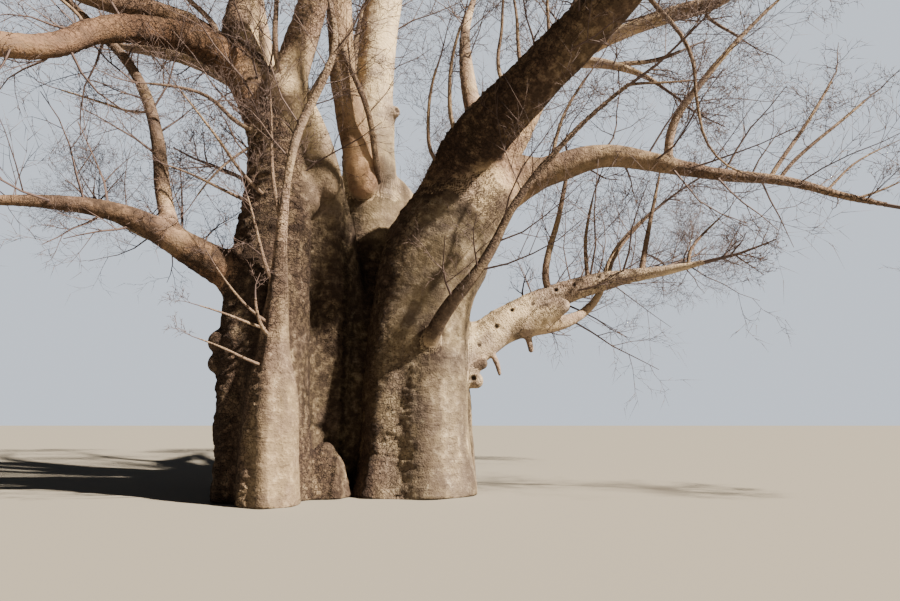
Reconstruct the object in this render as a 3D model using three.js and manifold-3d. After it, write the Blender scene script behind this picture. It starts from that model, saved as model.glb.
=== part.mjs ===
// A bare baobab tree: one trunk of fused stems, its boughs, and a mass of twigs at the tip of each bough.
// Millimetres and degrees, +Z up. X runs to the right and Y away from the viewer.
// The origin lies on the ground, in the flat cut under the trunk.
import * as THREE from 'three';
import { mergeVertices } from 'three/addons/utils/BufferGeometryUtils.js';
import Module from 'manifold-3d';

const wasm = await Module();
wasm.setup();

// Driving dimensions
const gap = 0.3; // between pieces that meet
const endGrowth = 0.9; // share of the gap by which a cutting body is longer at each end
const rootDepth = 600; // how far a stem is carried below the ground before the flat cut
const lineSteps = 48; // even steps along every limb's line
const fineness = 0.05; // slivers below this are smoothed away after fusing
const mergeWithin = 0.001;

// Faces round a limb and sections along it
const stemSides = 14;
const stemSections = 8;
const toeSections = 3;
const stoutBoughSides = 8;
const slimBoughSides = 6;
const slimBelow = 450;
const boughSections = 8;
const twigSides = 3;

// Root flare: a stem is wider at the ground by flareShare, and the flare dies out over flareHeight
const flareShare = 0.09;
const flareHeight = 700;

// Folds of the trunk: each stem is lobed round its section, most deeply at the ground
const foldShare = 0.042;
const foldCounts = [3, 5, 7];
const foldFade = 5500;

// Twigs: each list goes by rank, from the stem of a mass to the twigs of its twigs. A twig bears some of
// the next rank on its three faces in turn, and has a length and thickness in proportion to its bearer.
const twigRule = {
  borne: [7, 2, 0],
  parts: [4, 1, 1],
  stemShare: 1.5,
  firstShare: [0.14, 0.35],
  lastShare: 0.94,
  spread: [50, 44],
  faceTurn: 30,
  lengthShare: [0.5, 0.55],
  lengthRange: [0.75, 1.25],
  taper: 0.6,
  thickness: 0.4,
  bend: 17,
  lift: 0.16,
  tries: [1, 0.72, 0.5],
};

// The space of a mass: a ball of its reach round a heart that lies ahead of its foot
const heartShare = 0.72;
const massGap = 50;
const limbGap = 25;
const footAllowance = 350; // a stem may be this near the limb it grows from
const sproutDepth = 0.8; // share of the trunk's half width where a sprout has its foot

const foldSeed = 101;
const twigSeed = 7001;
const seedStride = 31;
const seedRange = 4294967296;

// Each limb is one line: heading 0 points right and 90 away from the viewer, climb is above the level,
// and each list is spread evenly from foot to tip. A heading may pass 360, so that the line turns the
// short way. Stems stand on the ground and fuse into the trunk.
const stems = {
  left_stem: {
    foot: [-1680, -1700],
    length: 9100,
    heading: [175, 170],
    climb: [84, 88, 90, 95, 82, 57],
    across: [1800, 1800, 1770, 1460, 1180, 960],
  },
  front_column: {
    foot: [-1300, -2700],
    length: 4800,
    heading: [310, 285],
    climb: [95, 91, 93, 84, 72],
    across: [1060, 1040, 930, 550, 400, 250],
  },
  leaning_stem: {
    foot: [-900, 300],
    length: 9100,
    heading: [-100, -85, -125],
    climb: [86, 87, 81, 70, 65, 41],
    across: [2000, 2000, 1900, 1450, 1060, 800],
  },
  middle_stem: {
    foot: [-100, 1300],
    length: 7300,
    heading: [270, 275],
    climb: [90, 91, 82, 77],
    across: [2800, 2600, 2400, 2010, 1420],
  },
  heart_stem: {
    foot: [200, 1200],
    length: 7000,
    heading: [90],
    climb: [90, 86],
    across: [3200, 3150, 3000, 2700, 1900],
  },
  right_stem: {
    foot: [1300, -600],
    length: 6700,
    heading: [-10, -5],
    climb: [92, 90, 87, 72, 46],
    across: [2390, 2260, 2210, 2140, 2410, 1890],
  },
  left_web: {
    foot: [-1450, -550],
    length: 5600,
    heading: [90],
    climb: [90, 88],
    across: [1500, 1400, 1300, 1000],
  },
  right_lobe: {
    foot: [1990, 480],
    length: 4400,
    heading: [-110],
    climb: [95, 82, 68],
    across: [1100, 1060, 980, 800, 520],
  },
  back_left_stem: {
    foot: [-1200, 2000],
    length: 8700,
    heading: [125, 135],
    climb: [89, 86, 80, 76],
    across: [2100, 1910, 1580, 1150],
  },
  back_right_stem: {
    foot: [1200, 2000],
    length: 8000,
    heading: [60, 55],
    climb: [89, 87, 78, 67],
    across: [2200, 2020, 1770, 1300],
  },
  recess_toe: {
    foot: [-560, -1350],
    length: 900,
    heading: [100],
    climb: [84],
    across: [1000, 820, 360],
  },
  right_toe: {
    foot: [560, -1250],
    length: 800,
    heading: [60],
    climb: [84],
    across: [820, 680, 300],
  },
};

// A bough sets out from the line of the limb it grows on, at a share of that limb's length.
// At 1 it goes on from the tip in line, and just short of 1 it turns off there.
// Its twigs reach as far as the last number round their own heart.
const boughs = {
  left_top_bough: {
    on: 'left_stem',
    at: 1,
    length: 11600,
    heading: [130, 155, 195],
    climb: [110, 54, 74, 80, 84],
    across: [960, 670, 520, 400, 290, 180],
    reach: 2900,
  },
  left_great_bough: {
    on: 'left_stem',
    at: 0.93,
    length: 11600,
    heading: [-165, -115, -145, -155],
    climb: [67, -11, -48, 9, 18, 44],
    across: [880, 600, 430, 410, 320, 200],
    reach: 3000,
  },
  left_upper_bough: {
    on: 'left_stem',
    at: 0.99,
    length: 11900,
    heading: [-150, -165, -160],
    climb: [50, -4, 59, 49, 63],
    across: [670, 450, 330, 290, 230, 160],
    reach: 2900,
  },
  left_top_fork: {
    on: 'left_top_bough',
    at: 0.4,
    length: 7100,
    heading: [-25, -75],
    climb: [55, 73, 76],
    across: [420, 340, 250, 150],
    reach: 2700,
  },
  left_low_bough: {
    on: 'left_stem',
    at: 0.43,
    length: 6300,
    heading: [-150, -160],
    climb: [37, 27, 26, 2, -7, -18],
    across: [770, 720, 480, 320, 200, 140],
    reach: 2400,
  },
  left_low_riser: {
    on: 'left_low_bough',
    at: 0.33,
    length: 6200,
    heading: [-175, -180],
    climb: [66, 83, 68, 44, 46],
    across: [340, 310, 250, 210, 160, 110],
    reach: 1900,
  },
  slim_front_limb: {
    on: 'front_column',
    at: 1,
    length: 5600,
    heading: [345, 350, 375],
    climb: [84, 80, 63, 68, 100, 104],
    across: [250, 150, 180, 160, 130, 100],
    reach: 1700,
  },
  leaning_bough: {
    on: 'leaning_stem',
    at: 0.99,
    length: 11600,
    heading: [0, -85, -70, -70],
    climb: [78, 60, 50, 60, 62],
    across: [720, 620, 550, 420, 290, 180],
    reach: 2900,
  },
  smooth_bough: {
    on: 'middle_stem',
    at: 1,
    length: 13000,
    heading: [385, 430],
    climb: [89, 81, 72, 85, 84],
    across: [1420, 940, 950, 620, 400, 200],
    reach: 2900,
  },
  bulb_bough: {
    on: 'middle_stem',
    at: 0.96,
    length: 13200,
    heading: [-100, -295],
    climb: [51, 84, 89, 77, 79],
    across: [820, 630, 640, 430, 300, 180],
    reach: 2800,
  },
  right_great_bough: {
    on: 'right_stem',
    at: 0.8,
    length: 16300,
    heading: [-45, -40, -15],
    climb: [88, 27, 30, 38, 56, 69],
    across: [1420, 1170, 910, 640, 420, 200],
    reach: 3000,
  },
  right_great_fork: {
    on: 'right_great_bough',
    at: 0.45,
    length: 9400,
    heading: [-60, -100, -55],
    climb: [80, 61, 77, 76],
    across: [520, 430, 330, 240, 160],
    reach: 2800,
  },
  right_long_bough: {
    on: 'right_stem',
    at: 1,
    length: 9100,
    heading: [-15],
    climb: [10, 18, -16, -17, -8, -24, -17],
    across: [1890, 700, 500, 300, 200, 100],
    reach: 2300,
  },
  right_back_bough: {
    on: 'right_stem',
    at: 0.92,
    length: 14200,
    heading: [20, 5],
    climb: [51, 64, 65, 62, 71],
    across: [830, 690, 510, 410, 270, 160],
    reach: 2900,
  },
  right_upper_bough: {
    on: 'right_back_bough',
    at: 0.3,
    length: 10800,
    heading: [-15, -20],
    climb: [52, 19, 5, 73, 53, 78],
    across: [410, 350, 360, 290, 220, 150],
    reach: 2700,
  },
  right_inner_limb: {
    on: 'right_upper_bough',
    at: 0.1,
    length: 2400,
    heading: [-20, -25],
    climb: [-8, -26, -47],
    across: [300, 270, 200, 140, 90],
    reach: 1300,
  },
  right_long_riser: {
    on: 'right_long_bough',
    at: 0.52,
    length: 4400,
    heading: [-45, -10],
    climb: [97, 48, 45, 41],
    across: [200, 200, 160, 130, 100, 70],
    reach: 1700,
  },
  right_slender_limb: {
    on: 'right_stem',
    at: 0.42,
    length: 7700,
    heading: [-85, -10, -25],
    climb: [-7, 46, 40, 66, 50, 42, 29],
    across: [350, 330, 230, 160, 120, 80],
    reach: 1700,
  },
  right_low_bough: {
    on: 'right_stem',
    at: 0.36,
    length: 7100,
    heading: [20, -30],
    climb: [24, 38, 32, 17, 4, 8],
    across: [1010, 910, 770, 500, 290, 110],
    reach: 1000,
  },
  right_low_fork: {
    on: 'right_low_bough',
    at: 0.33,
    length: 5100,
    heading: [-15, 25, -15],
    climb: [-4, 5, 37, 75, 50, 37],
    across: [550, 400, 200, 140, 110, 80],
    reach: 1500,
  },
  back_left_bough: {
    on: 'back_left_stem',
    at: 1,
    length: 13200,
    heading: [165, 130],
    climb: [43, 41, 28, 23, 22, 33],
    across: [1150, 1080, 820, 560, 380, 200],
    reach: 3100,
  },
  back_left_fork: {
    on: 'back_left_bough',
    at: 0.3,
    length: 8200,
    heading: [145, 90],
    climb: [90, 65, 62, 60],
    across: [590, 450, 330, 250, 170],
    reach: 2900,
  },
  back_left_low_bough: {
    on: 'back_left_stem',
    at: 0.5,
    length: 10400,
    heading: [165, 140],
    climb: [20, 30, 21, 21, 28],
    across: [680, 570, 440, 320, 180],
    reach: 2900,
  },
  back_right_bough: {
    on: 'back_right_stem',
    at: 1,
    length: 14200,
    heading: [35, 45],
    climb: [59, 39, 48, 43, 42, 42],
    across: [1300, 1210, 900, 650, 420, 200],
    reach: 3100,
  },
  back_right_fork: {
    on: 'back_right_bough',
    at: 0.22,
    length: 9400,
    heading: [115, 60],
    climb: [67, 65, 55, 66],
    across: [640, 500, 380, 280, 170],
    reach: 2900,
  },
  back_right_low_bough: {
    on: 'back_right_stem',
    at: 0.5,
    length: 10000,
    heading: [35],
    climb: [-13, 22, 30, 14, 14],
    across: [690, 630, 500, 360, 180],
    reach: 2900,
  },
  back_middle_bough: {
    on: 'middle_stem',
    at: 0.9,
    length: 14500,
    heading: [115, 65],
    climb: [52, 73, 70, 51, 53],
    across: [970, 860, 600, 400, 180],
    reach: 2900,
  },
  back_far_bough: {
    on: 'back_right_stem',
    at: 0.8,
    length: 9600,
    heading: [85],
    climb: [26, 37, 32, 34],
    across: [780, 700, 540, 360, 180],
    reach: 3000,
  },
};

// Twigs that spring straight from the trunk
const sprouts = {
  left_sprouts: {
    on: 'left_stem',
    at: 0.68,
    heading: 180,
    climb: 28,
    across: 120,
    reach: 1400,
  },
};

// Value at a share of the way along a list that is spread evenly from foot to tip
function spreadAt(values, share) {
  if (values.length === 1) return values[0];
  const place = share * (values.length - 1);
  const before = Math.min(Math.floor(place), values.length - 2);
  return THREE.MathUtils.lerp(values[before], values[before + 1], place - before);
}

function pointing(heading, climb) {
  const turn = THREE.MathUtils.degToRad(heading);
  const rise = THREE.MathUtils.degToRad(climb);
  const level = Math.cos(rise);
  return new THREE.Vector3(level * Math.cos(turn), level * Math.sin(turn), Math.sin(rise));
}

// The same row of numbers each time, between 0 and 1
function seededNumbers(seed) {
  const [factor, step] = [1664525, 1013904223];
  let state = seed;
  return () => {
    state = (Math.imul(state, factor) + step) >>> 0;
    return state / seedRange;
  };
}

// Lines

// One station of a limb's line: its place, the way it points, and the two directions across it
function station(point, heading, climb, radius) {
  const turn = THREE.MathUtils.degToRad(heading);
  const forward = pointing(heading, climb);
  const side = new THREE.Vector3(Math.sin(turn), -Math.cos(turn), 0);
  const over = new THREE.Vector3().crossVectors(side, forward);
  return { point: point.clone(), forward, side, over, heading, climb, radius };
}

function traceLimb(limb, start, leadHeading = [], leadClimb = []) {
  const heading = [...leadHeading, ...limb.heading];
  const climb = [...leadClimb, ...limb.climb];
  const stride = limb.length / lineSteps;
  const point = start.clone();
  const line = [];
  for (let step = 0; step <= lineSteps; step++) {
    const share = step / lineSteps;
    const radius = spreadAt(limb.across, share) / 2;
    line.push(station(point, spreadAt(heading, share), spreadAt(climb, share), radius));
    const middle = Math.min((step + 0.5) / lineSteps, 1);
    point.addScaledVector(pointing(spreadAt(heading, middle), spreadAt(climb, middle)), stride);
  }
  return line;
}

function stationAt(line, share) {
  return line[Math.round(share * (line.length - 1))];
}

function evenStations(line, sections) {
  return Array.from({ length: sections + 1 }, (_, i) => stationAt(line, i / sections));
}

// Bodies

function solidOf(geometry) {
  geometry.deleteAttribute('normal');
  geometry.deleteAttribute('uv');
  const merged = mergeVertices(geometry, mergeWithin);
  const vertProperties = merged.attributes.position.array;
  return new wasm.Manifold(new wasm.Mesh({ numProp: 3, vertProperties, triVerts: merged.index.array }));
}

function geometryOf(solid) {
  const { vertProperties, triVerts } = solid.getMesh();
  const geometry = new THREE.BufferGeometry();
  geometry.setAttribute('position', new THREE.BufferAttribute(vertProperties, 3));
  geometry.setIndex(new THREE.BufferAttribute(triVerts, 1));
  const faceted = geometry.toNonIndexed();
  faceted.computeVertexNormals();
  return faceted;
}

function largestPiece(solid) {
  const pieces = solid.decompose();
  return pieces.reduce((best, piece) => (piece.volume() > best.volume() ? piece : best));
}

// A closed body through stations: a cylinder whose rings are moved onto them, pointed where the last has
// no width. Grown, it is wider and longer by about the gap, to cut a clearance out of what meets it.
function loft(stations, sides, widen = () => 1, grown = 0) {
  const rings = stations.length - 1;
  const topRadius = stations[rings].radius === 0 ? 0 : 1;
  const geometry = new THREE.CylinderGeometry(topRadius, 1, 1, sides, rings);
  const position = geometry.attributes.position;
  const spot = new THREE.Vector3();
  for (let i = 0; i < position.count; i++) {
    const [x, y, z] = [position.getX(i), position.getY(i), position.getZ(i)];
    const ring = Math.round((y + 0.5) * rings);
    const at = stations[ring];
    const rim = Math.hypot(x, z);
    spot.copy(at.point);
    if (ring === 0) spot.addScaledVector(at.forward, -grown * endGrowth);
    if (ring === rings) spot.addScaledVector(at.forward, grown * endGrowth);
    if (rim > mergeWithin) {
      const radius = at.radius * widen(Math.atan2(x, z), at.point.z) + grown;
      spot.addScaledVector(at.side, (x / rim) * radius);
      spot.addScaledVector(at.over, (z / rim) * radius);
    }
    position.setXYZ(i, spot.x, spot.y, spot.z);
  }
  return solidOf(geometry);
}

// Stem sections are round at heart, with folds that fade upwards and a flare at the ground
function stemOutline(order) {
  const draw = seededNumbers(foldSeed + order);
  const folds = foldCounts.map((count) => ({ count, turn: draw() * 2 * Math.PI }));
  return (angle, height) => {
    const above = Math.max(height, 0);
    const flare = flareShare * Math.exp(-above / flareHeight);
    const depth = foldShare * Math.exp(-above / foldFade);
    return folds.reduce((sum, { count, turn }) => sum + depth * Math.cos(count * angle + turn), 1 + flare);
  };
}

// The trunk: stems carried below the ground, fused, and cut flat at ground level
function makeTrunk(grown) {
  const parts = Object.entries(stems).map(([name, stem], order) => {
    const isToe = stem.length < 2 * rootDepth;
    const stations = evenStations(lines[name], isToe ? toeSections : stemSections);
    const foot = stations[0];
    const below = foot.point.clone().addScaledVector(foot.forward, -rootDepth);
    return loft([{ ...foot, point: below }, ...stations], stemSides, stemOutline(order), grown);
  });
  return wasm.Manifold.union(parts).trimByPlane([0, 0, 1], 0).simplify(fineness);
}

function makeBough(name, grown) {
  const stations = evenStations(lines[name], boughSections);
  const sides = stations[1].radius * 2 < slimBelow ? slimBoughSides : stoutBoughSides;
  return loft(stations, sides, () => 1, grown);
}

// Twigs

function limbDistance(point) {
  const toLine = (line) => Math.min(...line.map((at) => point.distanceTo(at.point) - at.radius));
  return Math.min(...Object.values(lines).map(toLine));
}

// Inside the ball of its own mass, and on its own side of the half-way faces to the other hearts
function inSpace(point, mass) {
  const own = point.distanceTo(mass.heart);
  if (own > mass.reach) return false;
  const others = Object.values(masses).filter((other) => other !== mass);
  return others.every((other) => point.distanceTo(other.heart) > own + massGap);
}

// A twig's stations: straight parts, each turned a little from the last and lifted towards the light
function traceTwig(twig, draw) {
  const parts = twigRule.parts[twig.rank];
  const turn = Math.tan(THREE.MathUtils.degToRad(twigRule.bend)) / Math.sqrt(parts);
  const forward = twig.forward.clone();
  const side = new THREE.Vector3(-forward.y, forward.x, 0).normalize();
  const point = twig.foot.clone();
  const stations = [];
  for (let part = 0; part <= parts; part++) {
    const over = new THREE.Vector3().crossVectors(side, forward);
    const radius = part === parts ? 0 : twig.radius * (1 - twigRule.taper * (part / parts));
    stations.push({ point: point.clone(), forward: forward.clone(), side: side.clone(), over, radius });
    point.addScaledVector(forward, twig.length / parts);
    forward.addScaledVector(side, (2 * draw() - 1) * turn);
    forward.addScaledVector(over, (2 * draw() - 1) * turn);
    forward.z += twigRule.lift / parts;
    forward.normalize();
    side.addScaledVector(forward, -side.dot(forward)).normalize(); // carried along, so nothing twists
  }
  return stations;
}

function twigFits(stations, mass, rank) {
  return stations.slice(1).every((to, i) => {
    const from = stations[i];
    if (!inSpace(to.point, mass)) return false;
    return [0.25, 0.5, 0.75, 1].every((share) => {
      const point = from.point.clone().lerp(to.point, share);
      const atFoot = rank === 0 && point.distanceTo(mass.foot) < footAllowance;
      return atFoot || limbDistance(point) > from.radius + limbGap;
    });
  });
}

// A twig that stands on one of its bearer's three faces, with its foot on the bearer's line
function bornTwig(bearer, stations, share, order, draw) {
  const place = share * (stations.length - 1);
  const before = Math.min(Math.floor(place), stations.length - 2);
  const from = stations[before];
  const face = (360 / twigSides) * (order + 0.5);
  const turn = THREE.MathUtils.degToRad(face + twigRule.faceTurn * (draw() - 0.5));
  const spread = THREE.MathUtils.degToRad(twigRule.spread[bearer.rank]);
  const forward = from.forward.clone().multiplyScalar(Math.cos(spread));
  forward.addScaledVector(from.side, Math.sin(spread) * Math.sin(turn));
  forward.addScaledVector(from.over, Math.sin(spread) * Math.cos(turn));
  const [shortest, longest] = twigRule.lengthRange;
  const proportion = THREE.MathUtils.lerp(shortest, longest, draw());
  return {
    foot: from.point.clone().lerp(stations[before + 1].point, place - before),
    forward,
    length: bearer.length * twigRule.lengthShare[bearer.rank] * proportion,
    radius: bearer.radius * (1 - twigRule.taper * share) * twigRule.thickness,
    rank: bearer.rank + 1,
  };
}

// A twig that would leave the space of its mass or touch a limb is tried shorter, and then skipped
function placeTwig(twig, mass, seed) {
  for (const share of twigRule.tries) {
    const tried = { ...twig, length: twig.length * share };
    const stations = traceTwig(tried, seededNumbers(seed));
    if (twigFits(stations, mass, twig.rank)) return { tried, stations };
  }
  return null;
}

function growMass(mass, order) {
  const draw = seededNumbers(twigSeed + seedStride * order);
  const { foot, forward, radius, reach } = mass;
  const waiting = [{ foot, forward, radius, length: reach * twigRule.stemShare, rank: 0 }];
  const solids = [];
  while (waiting.length > 0) {
    const twig = waiting.shift();
    const placed = placeTwig(twig, mass, Math.floor(draw() * seedRange));
    if (!placed) continue;
    solids.push(loft(placed.stations, twigSides));
    const borne = twigRule.borne[twig.rank];
    const first = twigRule.firstShare[twig.rank];
    for (let i = 0; i < borne; i++) {
      const share = first + ((twigRule.lastShare - first) * (i + draw())) / borne;
      waiting.push(bornTwig(placed.tried, placed.stations, share, i, draw));
    }
  }
  return largestPiece(wasm.Manifold.union(solids).simplify(fineness));
}

// The tree

const lines = {};
for (const [name, stem] of Object.entries(stems)) {
  lines[name] = traceLimb(stem, new THREE.Vector3(stem.foot[0], stem.foot[1], 0));
}
for (const [name, bough] of Object.entries(boughs)) {
  const from = stationAt(lines[bough.on], bough.at);
  if (bough.at === 1) {
    const start = from.point.clone().addScaledVector(from.forward, gap);
    lines[name] = traceLimb(bough, start, [from.heading], [from.climb]);
  } else {
    lines[name] = traceLimb(bough, from.point);
  }
}

const masses = {};
for (const [name, bough] of Object.entries(boughs)) {
  const tip = stationAt(lines[name], 1);
  const foot = tip.point.clone().addScaledVector(tip.forward, gap);
  masses[`${name}_twigs`] = { foot, forward: tip.forward, radius: tip.radius, reach: bough.reach };
}
for (const [name, sprout] of Object.entries(sprouts)) {
  const from = stationAt(lines[sprout.on], sprout.at);
  const forward = pointing(sprout.heading, sprout.climb);
  const foot = from.point.clone().addScaledVector(forward, from.radius * sproutDepth);
  masses[name] = { foot, forward, radius: sprout.across / 2, reach: sprout.reach };
}
for (const mass of Object.values(masses)) {
  mass.heart = mass.foot.clone().addScaledVector(mass.forward, heartShare * mass.reach);
}

const finishes = {
  trunk: { color: 0xa89272, roughness: 0.9 },
  bough: { color: 0x8c6f56, roughness: 0.85 },
  twigs: { color: 0x5f4c4e, roughness: 0.9 },
};

function namedMesh(name, solid, finish) {
  const material = new THREE.MeshStandardMaterial({ ...finish, metalness: 0, flatShading: true });
  const mesh = new THREE.Mesh(geometryOf(solid), material);
  mesh.name = name;
  return mesh;
}

const tree = new THREE.Group();
tree.add(namedMesh('trunk', makeTrunk(0), finishes.trunk));

// Each bough is cut clear of the trunk and of the boughs before it, and a loose scrap is dropped
const cutters = [makeTrunk(gap)];
for (const name of Object.keys(boughs)) {
  const cut = cutters.reduce((solid, cutter) => solid.subtract(cutter), makeBough(name, 0));
  tree.add(namedMesh(name, largestPiece(cut).simplify(fineness), finishes.bough));
  cutters.push(makeBough(name, gap));
}
Object.entries(masses).forEach(([name, mass], order) => {
  const grown = growMass(mass, order);
  const solid = name in sprouts ? largestPiece(grown.subtract(cutters[0])) : grown;
  tree.add(namedMesh(name, solid, finishes.twigs));
});

export default tree;
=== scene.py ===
# A bare baobab tree: bark with its folds, rings and pits, winding boughs, and open masses of fine twigs.
# Metres and degrees, +Z up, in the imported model's own frame.
import math

import bmesh
import bpy
import numpy as np
import openvdb
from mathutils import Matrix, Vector


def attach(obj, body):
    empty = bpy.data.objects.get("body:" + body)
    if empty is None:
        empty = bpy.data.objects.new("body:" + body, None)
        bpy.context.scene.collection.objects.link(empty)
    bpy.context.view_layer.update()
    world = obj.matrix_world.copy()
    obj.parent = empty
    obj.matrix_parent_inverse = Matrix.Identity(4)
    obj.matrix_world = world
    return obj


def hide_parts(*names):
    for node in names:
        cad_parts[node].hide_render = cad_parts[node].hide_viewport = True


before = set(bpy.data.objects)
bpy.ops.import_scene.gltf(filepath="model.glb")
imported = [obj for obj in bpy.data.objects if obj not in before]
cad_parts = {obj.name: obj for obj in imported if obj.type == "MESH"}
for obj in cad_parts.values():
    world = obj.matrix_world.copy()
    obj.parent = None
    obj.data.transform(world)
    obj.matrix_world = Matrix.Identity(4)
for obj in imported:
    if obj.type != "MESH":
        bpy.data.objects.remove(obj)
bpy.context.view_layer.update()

# Camera: a viewer's eye in front of the trunk, tilted up at the crown
view = {
    "place": (2.0, -15.0, 1.45),
    "tilt": 10.76,
    "lens": 26.0,
    "sensor": 36.0,
}
cameraData = bpy.data.cameras.new("camera")
cameraData.lens = view["lens"]
cameraData.sensor_width = view["sensor"]
camera = bpy.data.objects.new("camera", cameraData)
camera.location = view["place"]
camera.rotation_euler = (math.radians(90 + view["tilt"]), 0, 0)
bpy.context.scene.collection.objects.link(camera)
bpy.context.scene.camera = camera
print("camera placed")


# The limbs, as the model has them: heading 0 points right and 90 away from the viewer, climb is above
# the level, and each list is spread evenly from foot to tip
lineSteps = 48
gap = 0.0003

stems = {
    "left_stem": {
        "foot": (-1.68, -1.70), "length": 9.1, "heading": (175, 170),
        "climb": (84, 88, 90, 95, 82, 57), "across": (1.8, 1.8, 1.77, 1.46, 1.18, 0.96),
    },
    "front_column": {
        "foot": (-1.30, -2.70), "length": 4.8, "heading": (310, 285),
        "climb": (95, 91, 93, 84, 72), "across": (1.06, 1.04, 0.93, 0.55, 0.40, 0.25),
    },
    "leaning_stem": {
        "foot": (-0.90, 0.30), "length": 9.1, "heading": (-100, -85, -125),
        "climb": (86, 87, 81, 70, 65, 41), "across": (2.0, 2.0, 1.9, 1.45, 1.06, 0.8),
    },
    "middle_stem": {
        "foot": (-0.10, 1.30), "length": 7.3, "heading": (270, 275),
        "climb": (90, 91, 82, 77), "across": (2.8, 2.6, 2.4, 2.01, 1.42),
    },
    "heart_stem": {
        "foot": (0.20, 1.20), "length": 7.0, "heading": (90,),
        "climb": (90, 86), "across": (3.2, 3.15, 3.0, 2.7, 1.9),
    },
    "right_stem": {
        "foot": (1.30, -0.60), "length": 6.7, "heading": (-10, -5),
        "climb": (92, 90, 87, 72, 46), "across": (2.39, 2.26, 2.21, 2.14, 2.41, 1.89),
    },
    "left_web": {
        "foot": (-1.45, -0.55), "length": 5.6, "heading": (90,),
        "climb": (90, 88), "across": (1.5, 1.4, 1.3, 1.0),
    },
    "right_lobe": {
        "foot": (1.99, 0.48), "length": 4.4, "heading": (-110,),
        "climb": (95, 82, 68), "across": (1.1, 1.06, 0.98, 0.8, 0.52),
    },
    "back_left_stem": {
        "foot": (-1.20, 2.00), "length": 8.7, "heading": (125, 135),
        "climb": (89, 86, 80, 76), "across": (2.1, 1.91, 1.58, 1.15),
    },
    "back_right_stem": {
        "foot": (1.20, 2.00), "length": 8.0, "heading": (60, 55),
        "climb": (89, 87, 78, 67), "across": (2.2, 2.02, 1.77, 1.3),
    },
    "recess_toe": {
        "foot": (-0.56, -1.35), "length": 0.9, "heading": (100,),
        "climb": (84,), "across": (1.0, 0.82, 0.36),
    },
    "right_toe": {
        "foot": (0.56, -1.25), "length": 0.8, "heading": (60,),
        "climb": (84,), "across": (0.82, 0.68, 0.3),
    },
}

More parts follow.
